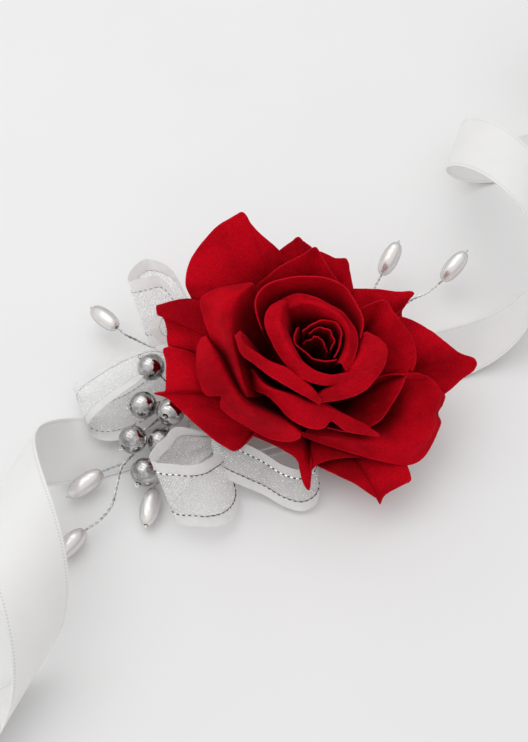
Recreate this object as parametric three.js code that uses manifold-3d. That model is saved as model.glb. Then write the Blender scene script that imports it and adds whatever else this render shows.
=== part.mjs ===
// Wrist corsage: fabric rose, organza loops, silver beads and pearl drops on a satin wrist ribbon.
// Millimetres. Origin: centre of the lower felt's underside. +X along the ribbon, +Z out of the wrist.
import * as THREE from 'three';
import Module from 'manifold-3d';

const wasm = await Module();
wasm.setup();

// Clearances
const SEAT_GAP = 0.3;
const WIRE_RUN = 0.25;

// Felt backing
const FELT_THICK = 1.2;
const FELT_UNDER_HALF = [30, 17];
const FELT_OVER_HALF = [28, 15.5];
const FELT_CORNER = 9;

// Satin ribbon
const RIBBON_WIDTH = 19;
const RIBBON_THICK = 0.4;
const BAND_HALF = 30.2;
const HINGE_X = BAND_HALF + SEAT_GAP;
const RIBBON_Y = 1.6;
const LEFT_CURL = { side: -1, start: 50.6, radius: 17.2, angle: 42.6, length: 262 };
const RIGHT_CURL = { side: 1, start: 58.6, radius: 20.2, angle: 36.8, length: 252 };
const CURL_REST = 0.35;
const CURL_STEP = 20;

// Rose frame: skew about Z, tilt towards the front, base point
const ROSE_SKEW = -18;
const ROSE_TILT = 12;
const ROSE_XY = [6.1, -4.4];
const ROSE_LIFT = 3.5;
const PETAL_THICK = 0.5;
const PETAL_GAP = 0.4;

// Wires and bundle
const STEM_D = 1.1;
const CORE_D = 0.7;
const WRAP_R = 2.6;
const WRAP_X = [-26, 20];
const WRAP_Y = 8;
const KNOT_R = 3.6;
const KNOT_X = [-22, -14];
const ROOT_GAP = 0.75;
const BEAD_TRUNK_R = 0.8;

// Beads and pearls
const BEAD_R = 4.2;
const PEARL_LENGTH = 12.6;
const PEARL_R = 2.95;
const END_LOOP_R = 0.85;
const END_LOOP_OUT = 0.9;

// Organza, glue and calyx
const ORGANZA_THICK = 0.4;
const GATHERED_SHARE = 0.16;
const GLUE_R = 13.4;
const GLUE_AT = [3, 1.5];
const SEPALS = 5;
const CALYX_R = 5.9;
const SEPAL_REACH = 8;
const SEPAL_NOTCH = 0.8;
const CALYX_THICK = 0.6;

// Facets
const PETAL_STEPS = [3, 2];
const ROUND_SIDES = 12;
const WIRE_SIDES = 5;

const LOOKS = {
  petal: { color: 0xa60d1c, roughness: 0.85, metalness: 0 },
  satin: { color: 0xf1f0ee, roughness: 0.42, metalness: 0 },
  organza: { color: 0xd9d8d6, roughness: 0.5, metalness: 0 },
  silver: { color: 0xc4c4c6, roughness: 0.12, metalness: 1 },
  wire: { color: 0xb4b4b6, roughness: 0.3, metalness: 1 },
  pearl: { color: 0xe4e1de, roughness: 0.22, metalness: 0 },
  felt: { color: 0xecebe8, roughness: 0.95, metalness: 0 },
  glue: { color: 0xe6e0cf, roughness: 0.4, metalness: 0 },
  leaf: { color: 0x47642f, roughness: 0.8, metalness: 0 },
  tape: { color: 0x567a41, roughness: 0.7, metalness: 0 },
};

const group = new THREE.Group();
group.name = 'wrist_corsage';
const V = (x, y, z) => new THREE.Vector3(x, y, z);
const rad = THREE.MathUtils.degToRad;

// Solids

function solidFrom(points, faces) {
  const g = new THREE.BufferGeometry();
  const flat = points.flatMap((p) => [p.x, p.y, p.z]);
  g.setAttribute('position', new THREE.Float32BufferAttribute(flat, 3));
  g.setIndex(faces.flat());
  return g;
}

// Vertex normals of a grid of points, rows by columns
function gridNormals(grid, closed) {
  const rows = grid.length;
  const cols = grid[0].length;
  return grid.map((row, i) => row.map((p, j) => {
    const up = grid[Math.min(i + 1, rows - 1)][j];
    const down = grid[Math.max(i - 1, 0)][j];
    const right = row[closed ? (j + 1) % cols : Math.min(j + 1, cols - 1)];
    const left = row[closed ? (j + cols - 1) % cols : Math.max(j - 1, 0)];
    return V(0, 0, 0).crossVectors(right.clone().sub(left), up.clone().sub(down)).normalize();
  }));
}

// Closed solid of a thin sheet: the grid is its middle surface
function sheetSolid(grid, thick, closed = false) {
  const rows = grid.length;
  const cols = grid[0].length;
  const normals = gridNormals(grid, closed);
  const points = [];
  for (const side of [0.5, -0.5]) {
    grid.forEach((row, i) => row.forEach((p, j) => {
      points.push(p.clone().addScaledVector(normals[i][j], side * thick));
    }));
  }
  const top = (i, j) => i * cols + (j % cols);
  const low = (i, j) => rows * cols + top(i, j);
  const faces = [];
  const quad = (a, b, c, d) => faces.push([a, b, c], [a, c, d]);
  const spans = closed ? cols : cols - 1;
  for (let i = 0; i < rows - 1; i += 1) {
    for (let j = 0; j < spans; j += 1) {
      quad(top(i, j), top(i, j + 1), top(i + 1, j + 1), top(i + 1, j));
      quad(low(i, j), low(i + 1, j), low(i + 1, j + 1), low(i, j + 1));
    }
  }
  for (let j = 0; j < spans; j += 1) {
    quad(low(0, j), low(0, j + 1), top(0, j + 1), top(0, j));
    quad(top(rows - 1, j), top(rows - 1, j + 1), low(rows - 1, j + 1), low(rows - 1, j));
  }
  if (!closed) {
    for (let i = 0; i < rows - 1; i += 1) {
      quad(top(i, 0), top(i + 1, 0), low(i + 1, 0), low(i, 0));
      quad(low(i, cols - 1), low(i + 1, cols - 1), top(i + 1, cols - 1), top(i, cols - 1));
    }
  }
  return solidFrom(points, faces);
}

// Smooth curve through points; tangents are held short at tight corners
function curveThrough(points, sub) {
  const n = points.length;
  const tangents = points.map((p, i) => {
    const a = points[Math.max(i - 1, 0)];
    const b = points[Math.min(i + 1, n - 1)];
    const t = b.clone().sub(a).multiplyScalar(i === 0 || i === n - 1 ? 1 : 0.5);
    if (i > 0 && i < n - 1) {
      const limit = 1.15 * Math.min(p.distanceTo(a), p.distanceTo(b));
      if (t.length() > limit) t.setLength(limit);
    }
    return t;
  });
  const out = [];
  for (let i = 0; i < n - 1; i += 1) {
    for (let k = 0; k < sub; k += 1) {
      out.push(hermite(points[i], tangents[i], points[i + 1], tangents[i + 1], k / sub));
    }
  }
  out.push(points[n - 1].clone());
  return out;
}

function hermite(p, tp, q, tq, t) {
  const t2 = t * t;
  const t3 = t2 * t;
  return V(0, 0, 0)
    .addScaledVector(p, 2 * t3 - 3 * t2 + 1)
    .addScaledVector(tp, t3 - 2 * t2 + t)
    .addScaledVector(q, 3 * t2 - 2 * t3)
    .addScaledVector(tq, t3 - t2);
}

// Round wire along a smooth path; radii follow the path's points
function wireSolid(path, radii, sides = WIRE_SIDES) {
  const points = [];
  const n = path.length;
  let side = null;
  path.forEach((p, i) => {
    const along = path[Math.min(i + 1, n - 1)].clone().sub(path[Math.max(i - 1, 0)]).normalize();
    if (!side) side = V(0, 0, 1).cross(along).normalize();
    side.addScaledVector(along, -side.dot(along)).normalize();
    const other = along.clone().cross(side);
    for (let k = 0; k < sides; k += 1) {
      const a = (2 * Math.PI * k) / sides;
      const rim = p.clone().addScaledVector(side, radii[i] * Math.cos(a));
      points.push(rim.addScaledVector(other, radii[i] * Math.sin(a)));
    }
  });
  const faces = [];
  for (let i = 0; i < n - 1; i += 1) {
    for (let k = 0; k < sides; k += 1) {
      const a = i * sides + k;
      const b = i * sides + ((k + 1) % sides);
      faces.push([a, b, b + sides], [a, b + sides, a + sides]);
    }
  }
  for (let k = 1; k < sides - 1; k += 1) {
    faces.push([0, k + 1, k]);
    const e = (n - 1) * sides;
    faces.push([e, e + k, e + k + 1]);
  }
  return solidFrom(points, faces);
}

// Turned solid: closed profile of [radius, height], about +Z
function turned(profile, segments) {
  const outline = profile.map(([r, z]) => new THREE.Vector2(r, z));
  return new THREE.LatheGeometry(outline, segments).rotateX(Math.PI / 2);
}

// Bead or pearl with a through bore along Z
function boredBead(radius, half, bore, power, segments, steps) {
  const profile = [];
  const lip = Math.acos(Math.min(1, ((bore + 0.12) / radius) ** (1 / power)));
  for (let i = 0; i <= steps; i += 1) {
    const a = -lip + (2 * lip * i) / steps;
    profile.push([radius * Math.cos(a) ** power, (half * Math.sin(a)) / Math.sin(lip)]);
  }
  profile.push([bore, half], [bore, -half], profile[0]);
  return turned(profile, segments);
}

// Booleans

function toManifold(geometry) {
  const g = geometry.index ? geometry : indexed(geometry);
  const pos = g.getAttribute('position');
  const keys = new Map();
  const remap = [];
  const verts = [];
  for (let i = 0; i < pos.count; i += 1) {
    const p = [pos.getX(i), pos.getY(i), pos.getZ(i)];
    const key = p.map((v) => Math.round(v * 1e4)).join(' ');
    if (!keys.has(key)) {
      keys.set(key, verts.length / 3);
      verts.push(...p);
    }
    remap.push(keys.get(key));
  }
  const tris = [];
  for (let i = 0; i < g.index.count; i += 3) {
    const t = [0, 1, 2].map((k) => remap[g.index.getX(i + k)]);
    if (t[0] !== t[1] && t[1] !== t[2] && t[0] !== t[2]) tris.push(...t);
  }
  return new wasm.Manifold(new wasm.Mesh({
    numProp: 3,
    vertProperties: new Float32Array(verts),
    triVerts: new Uint32Array(tris),
  }));
}

function indexed(geometry) {
  const g = geometry.clone();
  g.setIndex([...Array(g.getAttribute('position').count).keys()]);
  return g;
}

// Largest connected body of a boolean's result
function toGeometry(manifold) {
  const mesh = manifold.getMesh();
  const n = mesh.vertProperties.length / mesh.numProp;
  const parent = [...Array(n).keys()];
  const find = (i) => {
    let r = i;
    while (parent[r] !== r) r = parent[r];
    parent[i] = r;
    return r;
  };
  const t = mesh.triVerts;
  const merged = mesh.mergeFromVert ? [...mesh.mergeFromVert] : [];
  merged.forEach((v, i) => {
    parent[find(v)] = find(mesh.mergeToVert[i]);
  });
  for (let i = 0; i < t.length; i += 3) {
    parent[find(t[i])] = find(t[i + 1]);
    parent[find(t[i + 1])] = find(t[i + 2]);
  }
  const at = (i) => V(...[0, 1, 2].map((k) => mesh.vertProperties[i * mesh.numProp + k]));
  const size = new Map();
  for (let i = 0; i < t.length; i += 3) {
    const r = find(t[i]);
    const v = at(t[i]).dot(at(t[i + 1]).cross(at(t[i + 2]))) / 6;
    size.set(r, (size.get(r) || 0) + v);
  }
  const keep = [...size.entries()].sort((a, b) => b[1] - a[1])[0][0];
  const points = [...Array(n).keys()].map(at);
  const faces = [];
  for (let i = 0; i < t.length; i += 3) {
    if (find(t[i]) === keep) faces.push([t[i], t[i + 1], t[i + 2]]);
  }
  return solidFrom(points, faces);
}

const placed = [];

// Adds a node; earlier neighbours, grown by the gap, are cut away from it
function add(name, geometry, look, grown, trim = true) {
  let g = geometry;
  g.computeBoundingBox();
  const box = g.boundingBox.clone();
  const near = trim ? placed.filter((q) => q.box.intersectsBox(box)) : [];
  if (near.length) {
    let m = toManifold(g);
    for (const q of near) m = m.subtract(q.cutter);
    g = toGeometry(m);
  }
  if (grown) {
    grown.computeBoundingBox();
    placed.push({ box: grown.boundingBox.clone(), cutter: toManifold(grown).add(toManifold(g)) });
  }
  const flat = g.index ? g.toNonIndexed() : g;
  flat.computeVertexNormals();
  const mesh = new THREE.Mesh(flat, new THREE.MeshStandardMaterial(LOOKS[look]));
  mesh.name = name;
  group.add(mesh);
  return g;
}

// Felt backing and ribbon band

function roundedPad([hx, hy], corner, bottom, thick) {
  const s = new THREE.Shape();
  s.moveTo(-hx + corner, -hy);
  s.lineTo(hx - corner, -hy).absarc(hx - corner, -hy + corner, corner, -Math.PI / 2, 0, false);
  s.lineTo(hx, hy - corner).absarc(hx - corner, hy - corner, corner, 0, Math.PI / 2, false);
  s.lineTo(-hx + corner, hy).absarc(-hx + corner, hy - corner, corner, Math.PI / 2, Math.PI, false);
  s.lineTo(-hx, -hy + corner).absarc(-hx + corner, -hy + corner, corner, Math.PI, 1.5 * Math.PI, false);
  const g = new THREE.ExtrudeGeometry(s, { depth: thick, bevelEnabled: false, curveSegments: 4 });
  return g.translate(0, 0, bottom);
}

const BAND_Z = FELT_THICK + SEAT_GAP;
const OVER_Z = BAND_Z + RIBBON_THICK + SEAT_GAP;
const FELT_TOP = OVER_Z + FELT_THICK;
const WRAP_Z = FELT_TOP + KNOT_R + SEAT_GAP + 0.1;

add('felt_under', roundedPad(FELT_UNDER_HALF, FELT_CORNER, 0, FELT_THICK), 'felt', null, false);
const band = new THREE.BoxGeometry(2 * BAND_HALF, RIBBON_WIDTH, RIBBON_THICK);
add('ribbon_band', band.translate(0, RIBBON_Y, BAND_Z + RIBBON_THICK / 2), 'satin', null, false);
const feltGrown = FELT_OVER_HALF.map((half) => half + SEAT_GAP);
add('felt_over', roundedPad(FELT_OVER_HALF, FELT_CORNER, OVER_Z, FELT_THICK), 'felt',
  roundedPad(feltGrown, FELT_CORNER, OVER_Z - SEAT_GAP, FELT_THICK + 2 * SEAT_GAP), false);

// Ribbon tails: a short straight run, then a loose curl resting on the table.
// Rows lie along the curl's own axis, so each strip between two rows is flat.

function tailGrid(curl) {
  const { side, start, radius, length } = curl;
  const beta = rad(curl.angle);
  const axis = V(Math.sin(beta), Math.cos(beta), 0).multiplyScalar(side);
  const out = V(Math.cos(beta), -Math.sin(beta), 0).multiplyScalar(side);
  const edges = [-RIBBON_WIDTH / 2, RIBBON_WIDTH / 2];
  const hinge = (w) => V(side * HINGE_X, RIBBON_Y + side * w, BAND_Z + RIBBON_THICK / 2);
  const rows = [edges.map(hinge)];
  const sweep = (length * Math.cos(beta)) / radius;
  const steps = Math.ceil(sweep / rad(CURL_STEP));
  for (let i = 0; i <= steps; i += 1) {
    const phi = (sweep * i) / steps;
    rows.push(edges.map((w) => {
      const along = (radius * phi + w * Math.sin(beta)) / Math.cos(beta);
      const p = V(side * start, RIBBON_Y, CURL_REST + radius * (1 - Math.cos(phi)));
      p.addScaledVector(axis, along * Math.sin(beta) + w * Math.cos(beta));
      return p.addScaledVector(out, radius * Math.sin(phi));
    }));
  }
  return rows;
}

for (const [name, curl] of [['ribbon_tail_left', LEFT_CURL], ['ribbon_tail_right', RIGHT_CURL]]) {
  const grid = tailGrid(curl);
  const grown = sheetSolid(grid, RIBBON_THICK + 2 * SEAT_GAP);
  add(name, sheetSolid(grid, RIBBON_THICK), 'satin', grown, false);
}

// Rose

const roseFrame = new THREE.Matrix4()
  .makeTranslation(...ROSE_XY, FELT_TOP + ROSE_LIFT)
  .multiply(new THREE.Matrix4().makeRotationZ(rad(ROSE_SKEW)))
  .multiply(new THREE.Matrix4().makeRotationX(rad(ROSE_TILT)));

// Each petal: base radius and height, base spread, rise angles of the base and of each row,
// then its rows of [azimuth, radius, height]
const PETALS = {
  petal_core: {
    r0: 1.0, z0: 13, spread: 1,
    rise: [86, 88],
    rows: [
      [[171, 4, 38], [153, 2.5, 39.5], [109, 2, 40.5], [20, 1.5, 39.5], [-31, 3.5, 38]],
    ],
  },
  petal_heart_in: {
    r0: 1.8, z0: 12, spread: 1,
    rise: [84, 88],
    rows: [
      [[127, 4, 40], [87, 4, 41], [48, 4.5, 41.5], [14, 4.5, 41], [-30, 4, 40]],
    ],
  },
  petal_heart_right: {
    r0: 2.4, z0: 11, spread: 1,
    rise: [80, 84],
    rows: [
      [[140, 5.5, 40.5], [104, 5.2, 41.6], [70, 6, 42.4], [39, 7, 42.6], [9, 6.6, 42.4],
        [-22, 6.3, 41.8], [-47, 6, 41]],
    ],
  },
  petal_heart_left: {
    r0: 2.8, z0: 10.5, spread: 1,
    rise: [80, 84],
    rows: [
      [[141, 6.4, 41.4], [158, 6.4, 42], [180, 6.3, 42.3], [206, 5.7, 42.3], [235, 5.2, 42],
        [262, 5.5, 41.7], [290, 6.3, 41.3], [315, 7, 40.8]],
    ],
  },
  petal_bud_right: {
    r0: 3.4, z0: 10, spread: 0.95,
    rise: [70, 65, 0],
    rows: [
      [[150, 13, 40], [130, 12, 41.6], [109, 10.7, 43], [88, 9.2, 43.5], [66, 8.4, 43.6],
        [38, 8.4, 43.5], [10, 8.2, 43.3], [-25, 8.3, 42.9], [-50, 9, 42.2]],
      [[152, 16.4, 39.2], [132, 16.2, 40.4], [111, 15.3, 41.4], [91, 12.9, 41.8], [69, 11, 41.9],
        [42, 10.9, 41.7], [9, 11, 41.5], [-24, 11, 41.2], [-51, 11.8, 40.7]],
    ],
  },
  petal_bud_left: {
    r0: 3.6, z0: 9.5, spread: 0.95,
    rise: [66, 60, -30],
    rows: [
      [[129, 13.8, 43.4], [141, 12.2, 45], [159, 10.5, 45.5], [184, 8.9, 45.5], [215, 8.4, 45],
        [245, 9.1, 44.5], [273, 10.7, 44], [292, 11.9, 43.4], [313, 13, 42.3]],
      [[132, 15.5, 43], [143, 16, 42.8], [158, 15.2, 42.4], [180, 12.8, 41.9], [214, 11.2, 41.5],
        [246, 11.5, 41], [273, 12.4, 40.6], [293, 13.3, 40.8], [315, 13.7, 41.8]],
    ],
  },
  petal_wrap_top: {
    r0: 4.2, z0: 9, spread: 0.9,
    rise: [62, 80],
    rows: [
      [[165, 15.5, 40], [155, 18.5, 43], [145, 20.5, 44.5], [133, 20.5, 45], [118, 19, 45],
        [101, 18, 45], [82, 17.5, 45], [62, 16.5, 45], [44, 14.5, 44.5], [24, 13, 43.5],
        [3, 11.5, 42]],
    ],
  },
  petal_wrap_right: {
    r0: 4.5, z0: 9, spread: 0.8,
    rise: [50, 60, -35],
    rows: [
      [[11, 12.5, 41], [-6, 11.5, 41], [-22, 11.5, 41], [-40, 11.5, 41], [-57, 12, 40.5],
        [-75, 13, 40], [-92, 14.5, 38]],
      [[14, 14.2, 40], [7, 17.5, 38], [-1, 19, 36.5], [-15, 19, 36], [-35, 18, 36], [-56, 16.8, 36],
        [-90, 16, 36.4]],
    ],
  },
  petal_wrap_left: {
    r0: 4.5, z0: 9, spread: 0.8,
    rise: [50, 64, -45],
    rows: [
      [[173, 21, 42], [185, 19, 42], [195, 16.5, 42], [208, 14, 42], [226, 11.5, 41.5],
        [247, 11.5, 41], [262, 13, 40], [273, 15.5, 38]],
      [[174, 22.5, 40.2], [187, 20.8, 39.3], [198, 18, 39], [213, 16, 38.5], [231, 14.5, 38],
        [248, 14.5, 37.5], [259, 14.8, 37.2], [272, 16.5, 36.4]],
    ],
  },
  petal_mid_low: {
    r0: 5.0, z0: 8, spread: 0.55,
    rise: [30, 62, -50],
    rows: [
      [[-166, 18, 32.2], [-158, 17.2, 32.2], [-148, 16.8, 33], [-139, 16.3, 34], [-128, 15, 34.5],
        [-113, 14, 34.5], [-98, 14.5, 34], [-85, 14.5, 33.5], [-76, 16.5, 33], [-69, 18.5, 32],
        [-62, 21, 31], [-56, 24, 30], [-53, 27, 28]],
      [[-168, 19.4, 29.2], [-160, 19.5, 28.6], [-151, 19.1, 28.6], [-142, 18.1, 30.6], [-129, 17.8, 31],
        [-115, 19, 29.5], [-102, 20, 28.5], [-91, 20.5, 28], [-84, 20, 28], [-77, 18.5, 28.5],
        [-69, 22, 27.5], [-61, 24.8, 27], [-52, 28, 26.4]],
    ],
  },
  petal_mid_right: {
    r0: 5.5, z0: 8, spread: 0.55,
    rise: [22, [40, 40, 35, 25, 20, 15, 10, 5]],
    rows: [
      [[49, 16.5, 34], [43, 20, 36], [37, 24, 37], [28, 24.5, 36], [18, 26, 34], [9, 28, 31],
        [1, 28.5, 28], [-7, 27.5, 25]],
    ],
  },
  petal_mid_top: {
    r0: 5.5, z0: 8, spread: 0.55,
    rise: [26, [20, 35, 45, 50, 50, 50, 50, 50, 45, 40]],
    rows: [
      [[139, 26, 32], [130, 26, 35], [120, 26, 37], [108, 27, 38], [97, 28.5, 38.5], [90, 30.5, 39],
        [87, 29, 38], [81, 25.5, 36], [73, 23.5, 33], [64, 22, 29]],
    ],
  },
  petal_mid_left: {
    r0: 5.5, z0: 8, spread: 0.5,
    rise: [30, 58, -25],
    rows: [
      [[131, 26.5, 36], [143, 26, 37], [154, 25, 37], [167, 23, 37], [182, 21.5, 36],
        [198, 21.5, 34], [212, 22, 30]],
      [[131, 28.4, 34.6], [141, 32, 34.5], [151, 36.5, 33], [158, 34, 30], [170, 29.5, 28],
        [188, 25.8, 27], [210, 24.6, 26]],
    ],
  },
  petal_mid_low_left: {
    r0: 5.5, z0: 7.5, spread: 0.55,
    rise: [24, 58, -55],
    rows: [
      [[167, 31.5, 29], [174, 28.5, 30], [184, 26, 31], [196, 24.5, 31], [208, 24, 31],
        [217, 23.5, 31], [228, 22, 30.5], [242, 20.5, 29.5], [252, 20.6, 27.8], [258, 21.2, 25.8]],
      [[167, 32.8, 27.4], [173, 34, 25], [183, 33.5, 23], [194, 32, 22], [199, 28, 24],
        [205, 29, 22.5], [217, 27, 22], [235, 24.8, 21.5], [250, 23.2, 21.9], [258.5, 22, 24.2]],
    ],
  },
  petal_mid_low_right: {
    r0: 5.5, z0: 7.5, spread: 0.6,
    rise: [26, 30],
    rows: [
      [[14, 26, 27], [0, 26.5, 27], [-14, 25.5, 26], [-30, 24.5, 25], [-46, 24, 24.5],
        [-62, 22.5, 24], [-80, 18.5, 23]],
    ],
  },
  petal_outer_low_right: {
    r0: 6, z0: 6.5, spread: 0.5,
    rise: [16, 8, -35],
    rows: [
      [[-9, 23.5, 27], [-6, 29.5, 26], [-9, 34, 23], [-16, 35.5, 21], [-21, 35.5, 20],
        [-28, 36, 19.5], [-36, 35, 19.5], [-44, 32, 20.5], [-54, 26.5, 22], [-69, 22, 22],
        [-84, 19, 20], [-98, 17.6, 18]],
      [[-9, 26, 25], [-8, 33, 23], [-10, 38, 19], [-14, 38, 18], [-18, 37.5, 17], [-22, 39, 16],
        [-36, 39, 14], [-45, 37, 14], [-57, 29.5, 15.5], [-75, 22.5, 15.5], [-99, 18.5, 15],
        [-112, 17.5, 14]],
    ],
  },
  petal_outer_top_left: {
    r0: 6, z0: 7, spread: 0.45,
    rise: [18, [10, 5, 5, 10, 20, 25, 25, 30, 30, 30, 25]],
    rows: [
      [[149, 41.5, 24], [146, 45, 28], [140, 47, 31], [133, 47.5, 34], [126, 48, 36],
        [120, 47.5, 37.5], [116, 47, 38.5], [115, 43.5, 37], [112, 39, 35], [107, 35, 32],
        [100, 30.5, 27]],
    ],
  },
  petal_outer_left: {
    r0: 6, z0: 6, spread: 0.5,
    rise: [12, 4],
    rows: [
      [[148, 39, 25], [150, 42.5, 25], [153, 45.5, 25], [157, 49, 25], [158, 49.5, 25],
        [160, 48.5, 24.5], [160, 47, 23], [163, 45, 21], [168, 43.5, 19], [169, 40.5, 16]],
    ],
  },
  petal_outer_right: {
    r0: 6, z0: 5.5, spread: 0.5,
    rise: [12, 6],
    rows: [
      [[35, 30, 22], [28, 32.5, 23], [20, 35.5, 23], [14, 38, 23], [7, 42, 22.5], [4, 46.5, 22],
        [1, 46.5, 20], [-2, 43, 18], [-8, 38, 15], [-11, 33.5, 12]],
    ],
  },
  petal_outer_low_front: {
    r0: 6, z0: 5.5, spread: 0.6,
    rise: [14, [-10, -10, -15, -20, -30, -40, -40, -40, -30, -20, -10, -10]],
    rows: [
      [[-136, 25, 14], [-124, 23.5, 14], [-113, 23.5, 14], [-102, 25, 13.5], [-99, 27.5, 12.5],
        [-96, 31, 11], [-93, 32.5, 10], [-92, 30.5, 11], [-92, 27.5, 12], [-87, 25.5, 13],
        [-75, 25, 13.5], [-61, 27, 13]],
    ],
  },
  petal_outer_top_right: {
    r0: 6, z0: 6.5, spread: 0.5,
    rise: [18, 24],
    rows: [
      [[91, 34, 30], [86, 33.5, 31], [79, 32, 31], [73, 32.5, 31], [70, 30.5, 29], [65, 27.5, 25],
        [62, 26.5, 20]],
    ],
  },
  petal_outer_top: {
    r0: 6, z0: 6.5, spread: 0.5,
    rise: [18, 30],
    rows: [
      [[113, 35, 27], [106, 35.5, 31], [101, 36.5, 32], [97, 37.5, 33], [94, 36, 32], [90, 35, 30],
        [83, 33, 26]],
    ],
  },
  petal_outer_right_high: {
    r0: 6, z0: 6, spread: 0.5,
    rise: [14, 12],
    rows: [
      [[72, 27, 22], [63, 28, 24], [53, 30.5, 25], [43, 34, 25.5], [38, 37, 26], [37, 35, 24],
        [36, 32.5, 22], [34, 32, 18]],
    ],
  },
  petal_outer_low_left: {
    r0: 6, z0: 5.5, spread: 0.55,
    rise: [10, [0, -5, -5, -10, -10, -5, -5, -10, -10, -10, -10, 0, 0]],
    rows: [
      [[169, 43, 20], [171, 44.5, 20], [176, 43, 19], [184, 43, 18.5], [187, 43.5, 18],
        [187, 46.5, 17], [189, 43, 16], [195, 39.5, 14.5], [203, 36.5, 13], [212, 34, 12],
        [222, 31.5, 11], [223, 28.5, 11], [223, 24.5, 12]],
    ],
  },
  petal_outer_low: {
    r0: 6, z0: 5, spread: 0.6,
    rise: [8, 2],
    rows: [
      [[-89, 25, 10], [-78, 28.5, 10.5], [-70, 33, 11.5], [-66, 37.5, 12.5], [-64, 40, 13],
        [-64, 41.5, 13], [-61, 40, 13], [-55, 40, 13.5], [-49, 41, 14], [-47, 39.5, 14],
        [-45, 37, 14]],
    ],
  },
};

const polar = (az, r, z) => V(r * Math.cos(rad(az)), r * Math.sin(rad(az)), z);

function petalGrid(petal, steps) {
  const first = petal.rows[0];
  const azimuths = first.map((q) => q[0]);
  const mid = (Math.min(...azimuths) + Math.max(...azimuths)) / 2;
  const base = azimuths.map((a) => [mid + (a - mid) * petal.spread, petal.r0, petal.z0]);
  const net = [base, ...petal.rows];
  const sub = first.length < 7 ? 2 : 1;
  const rows = net.map((row) => curveThrough(row.map((q) => polar(...q)), sub));
  const turns = net.map((row, i) => curveThrough(row.map((q, j) => {
    const rise = petal.rise[i];
    return V(q[0], Array.isArray(rise) ? rise[j] : rise, 0);
  }), sub));
  const tangent = (i, j, chord) => {
    const { x: az, y: rise } = turns[i][j];
    return polar(az, Math.cos(rad(rise)), Math.sin(rad(rise))).multiplyScalar(1.15 * chord);
  };
  const grid = [];
  for (let i = 0; i < rows.length - 1; i += 1) {
    const last = i === rows.length - 2;
    for (let k = 0; k < steps[i] + (last ? 1 : 0); k += 1) {
      grid.push(rows[i].map((p, j) => {
        const q = rows[i + 1][j];
        const chord = p.distanceTo(q);
        return hermite(p, tangent(i, j, chord), q, tangent(i + 1, j, chord), k / steps[i]);
      }));
    }
  }
  return grid;
}

const inRose = (g) => g.applyMatrix4(roseFrame);

// Receptacle with its stem stub, below and inside the petal bases
const RECEPTACLE = [[0, -2], [4, -2], [4.6, 0], [5.2, 4], [4.9, 7], [3.9, 8.3], [2.9, 8.9], [2.1, 9.9],
  [1.2, 11.4], [0.5, 12.3], [0, 12.4]];
const grownReceptacle = RECEPTACLE.map(([r, z]) => {
  const wide = r === 0 ? 0 : r + SEAT_GAP;
  return [wide, z < 0 ? z - SEAT_GAP : z + 0.12];
});
add('receptacle', inRose(turned(RECEPTACLE, ROUND_SIDES)), 'leaf',
  inRose(turned(grownReceptacle, ROUND_SIDES)), false);

for (const [name, petal] of Object.entries(PETALS)) {
  const grid = petalGrid(petal, PETAL_STEPS);
  const solid = inRose(sheetSolid(grid, PETAL_THICK));
  const grown = inRose(sheetSolid(grid, PETAL_THICK + 2 * PETAL_GAP));
  add(name, solid, 'petal', grown);
}

// Calyx: a cup with five sepals
const CALYX_COLUMNS = 4 * SEPALS;
const calyxGrid = [0, 0.5, 1].map((t) => [...Array(CALYX_COLUMNS).keys()].map((k) => {
  const az = (360 * k) / CALYX_COLUMNS;
  const lobe = (1 + Math.cos(rad(SEPALS * az))) / 2;
  const reach = CALYX_R + SEPAL_NOTCH + (SEPAL_REACH - SEPAL_NOTCH) * lobe;
  return polar(az, CALYX_R + t * (reach - CALYX_R), 2.2 + 1.6 * t * t);
}));
add('calyx', inRose(sheetSolid(calyxGrid, CALYX_THICK, true)), 'leaf',
  inRose(sheetSolid(calyxGrid, CALYX_THICK + 2 * SEAT_GAP, true)));

// Wire bundle, knot and glue

const alongX = (g) => g.rotateY(Math.PI / 2);
function bar(r, x0, x1, segments) {
  const length = x1 - x0;
  const profile = [[0, 0], [r - 0.4, 0], [r, 0.5], [r, length - 0.5], [r - 0.4, length], [0, length]];
  return alongX(turned(profile, segments)).translate(x0, WRAP_Y, WRAP_Z);
}
const grownBar = (r, [x0, x1]) => bar(r + SEAT_GAP, x0 - SEAT_GAP, x1 + SEAT_GAP, ROUND_SIDES);
add('stem_wrap', bar(WRAP_R, ...WRAP_X, ROUND_SIDES), 'tape', grownBar(WRAP_R, WRAP_X), false);
const knotLength = KNOT_X[1] - KNOT_X[0];
const knotInner = WRAP_R + SEAT_GAP;
const knotProfile = [[knotInner, 0], [KNOT_R - 0.3, 0], [KNOT_R, knotLength * 0.25],
  [KNOT_R - 0.15, knotLength / 2], [KNOT_R, knotLength * 0.75], [KNOT_R - 0.3, knotLength],
  [knotInner, knotLength], [knotInner, 0]];
const knot = alongX(turned(knotProfile, ROUND_SIDES)).translate(KNOT_X[0], WRAP_Y, WRAP_Z);
add('organza_knot', knot, 'organza', grownBar(KNOT_R, KNOT_X), false);

const glueProfile = [[0, 0], [0.97, 0], [1, 0.5], [0.86, 1.6], [0.6, 2.9], [0.3, 3.6], [0, 3.8]];
const glue = turned(glueProfile.map(([r, z]) => [r * GLUE_R, z]), ROUND_SIDES);
add('glue_pad', glue.translate(...GLUE_AT, FELT_TOP + SEAT_GAP), 'glue', null);

// Silver beads on one branching wire

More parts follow.
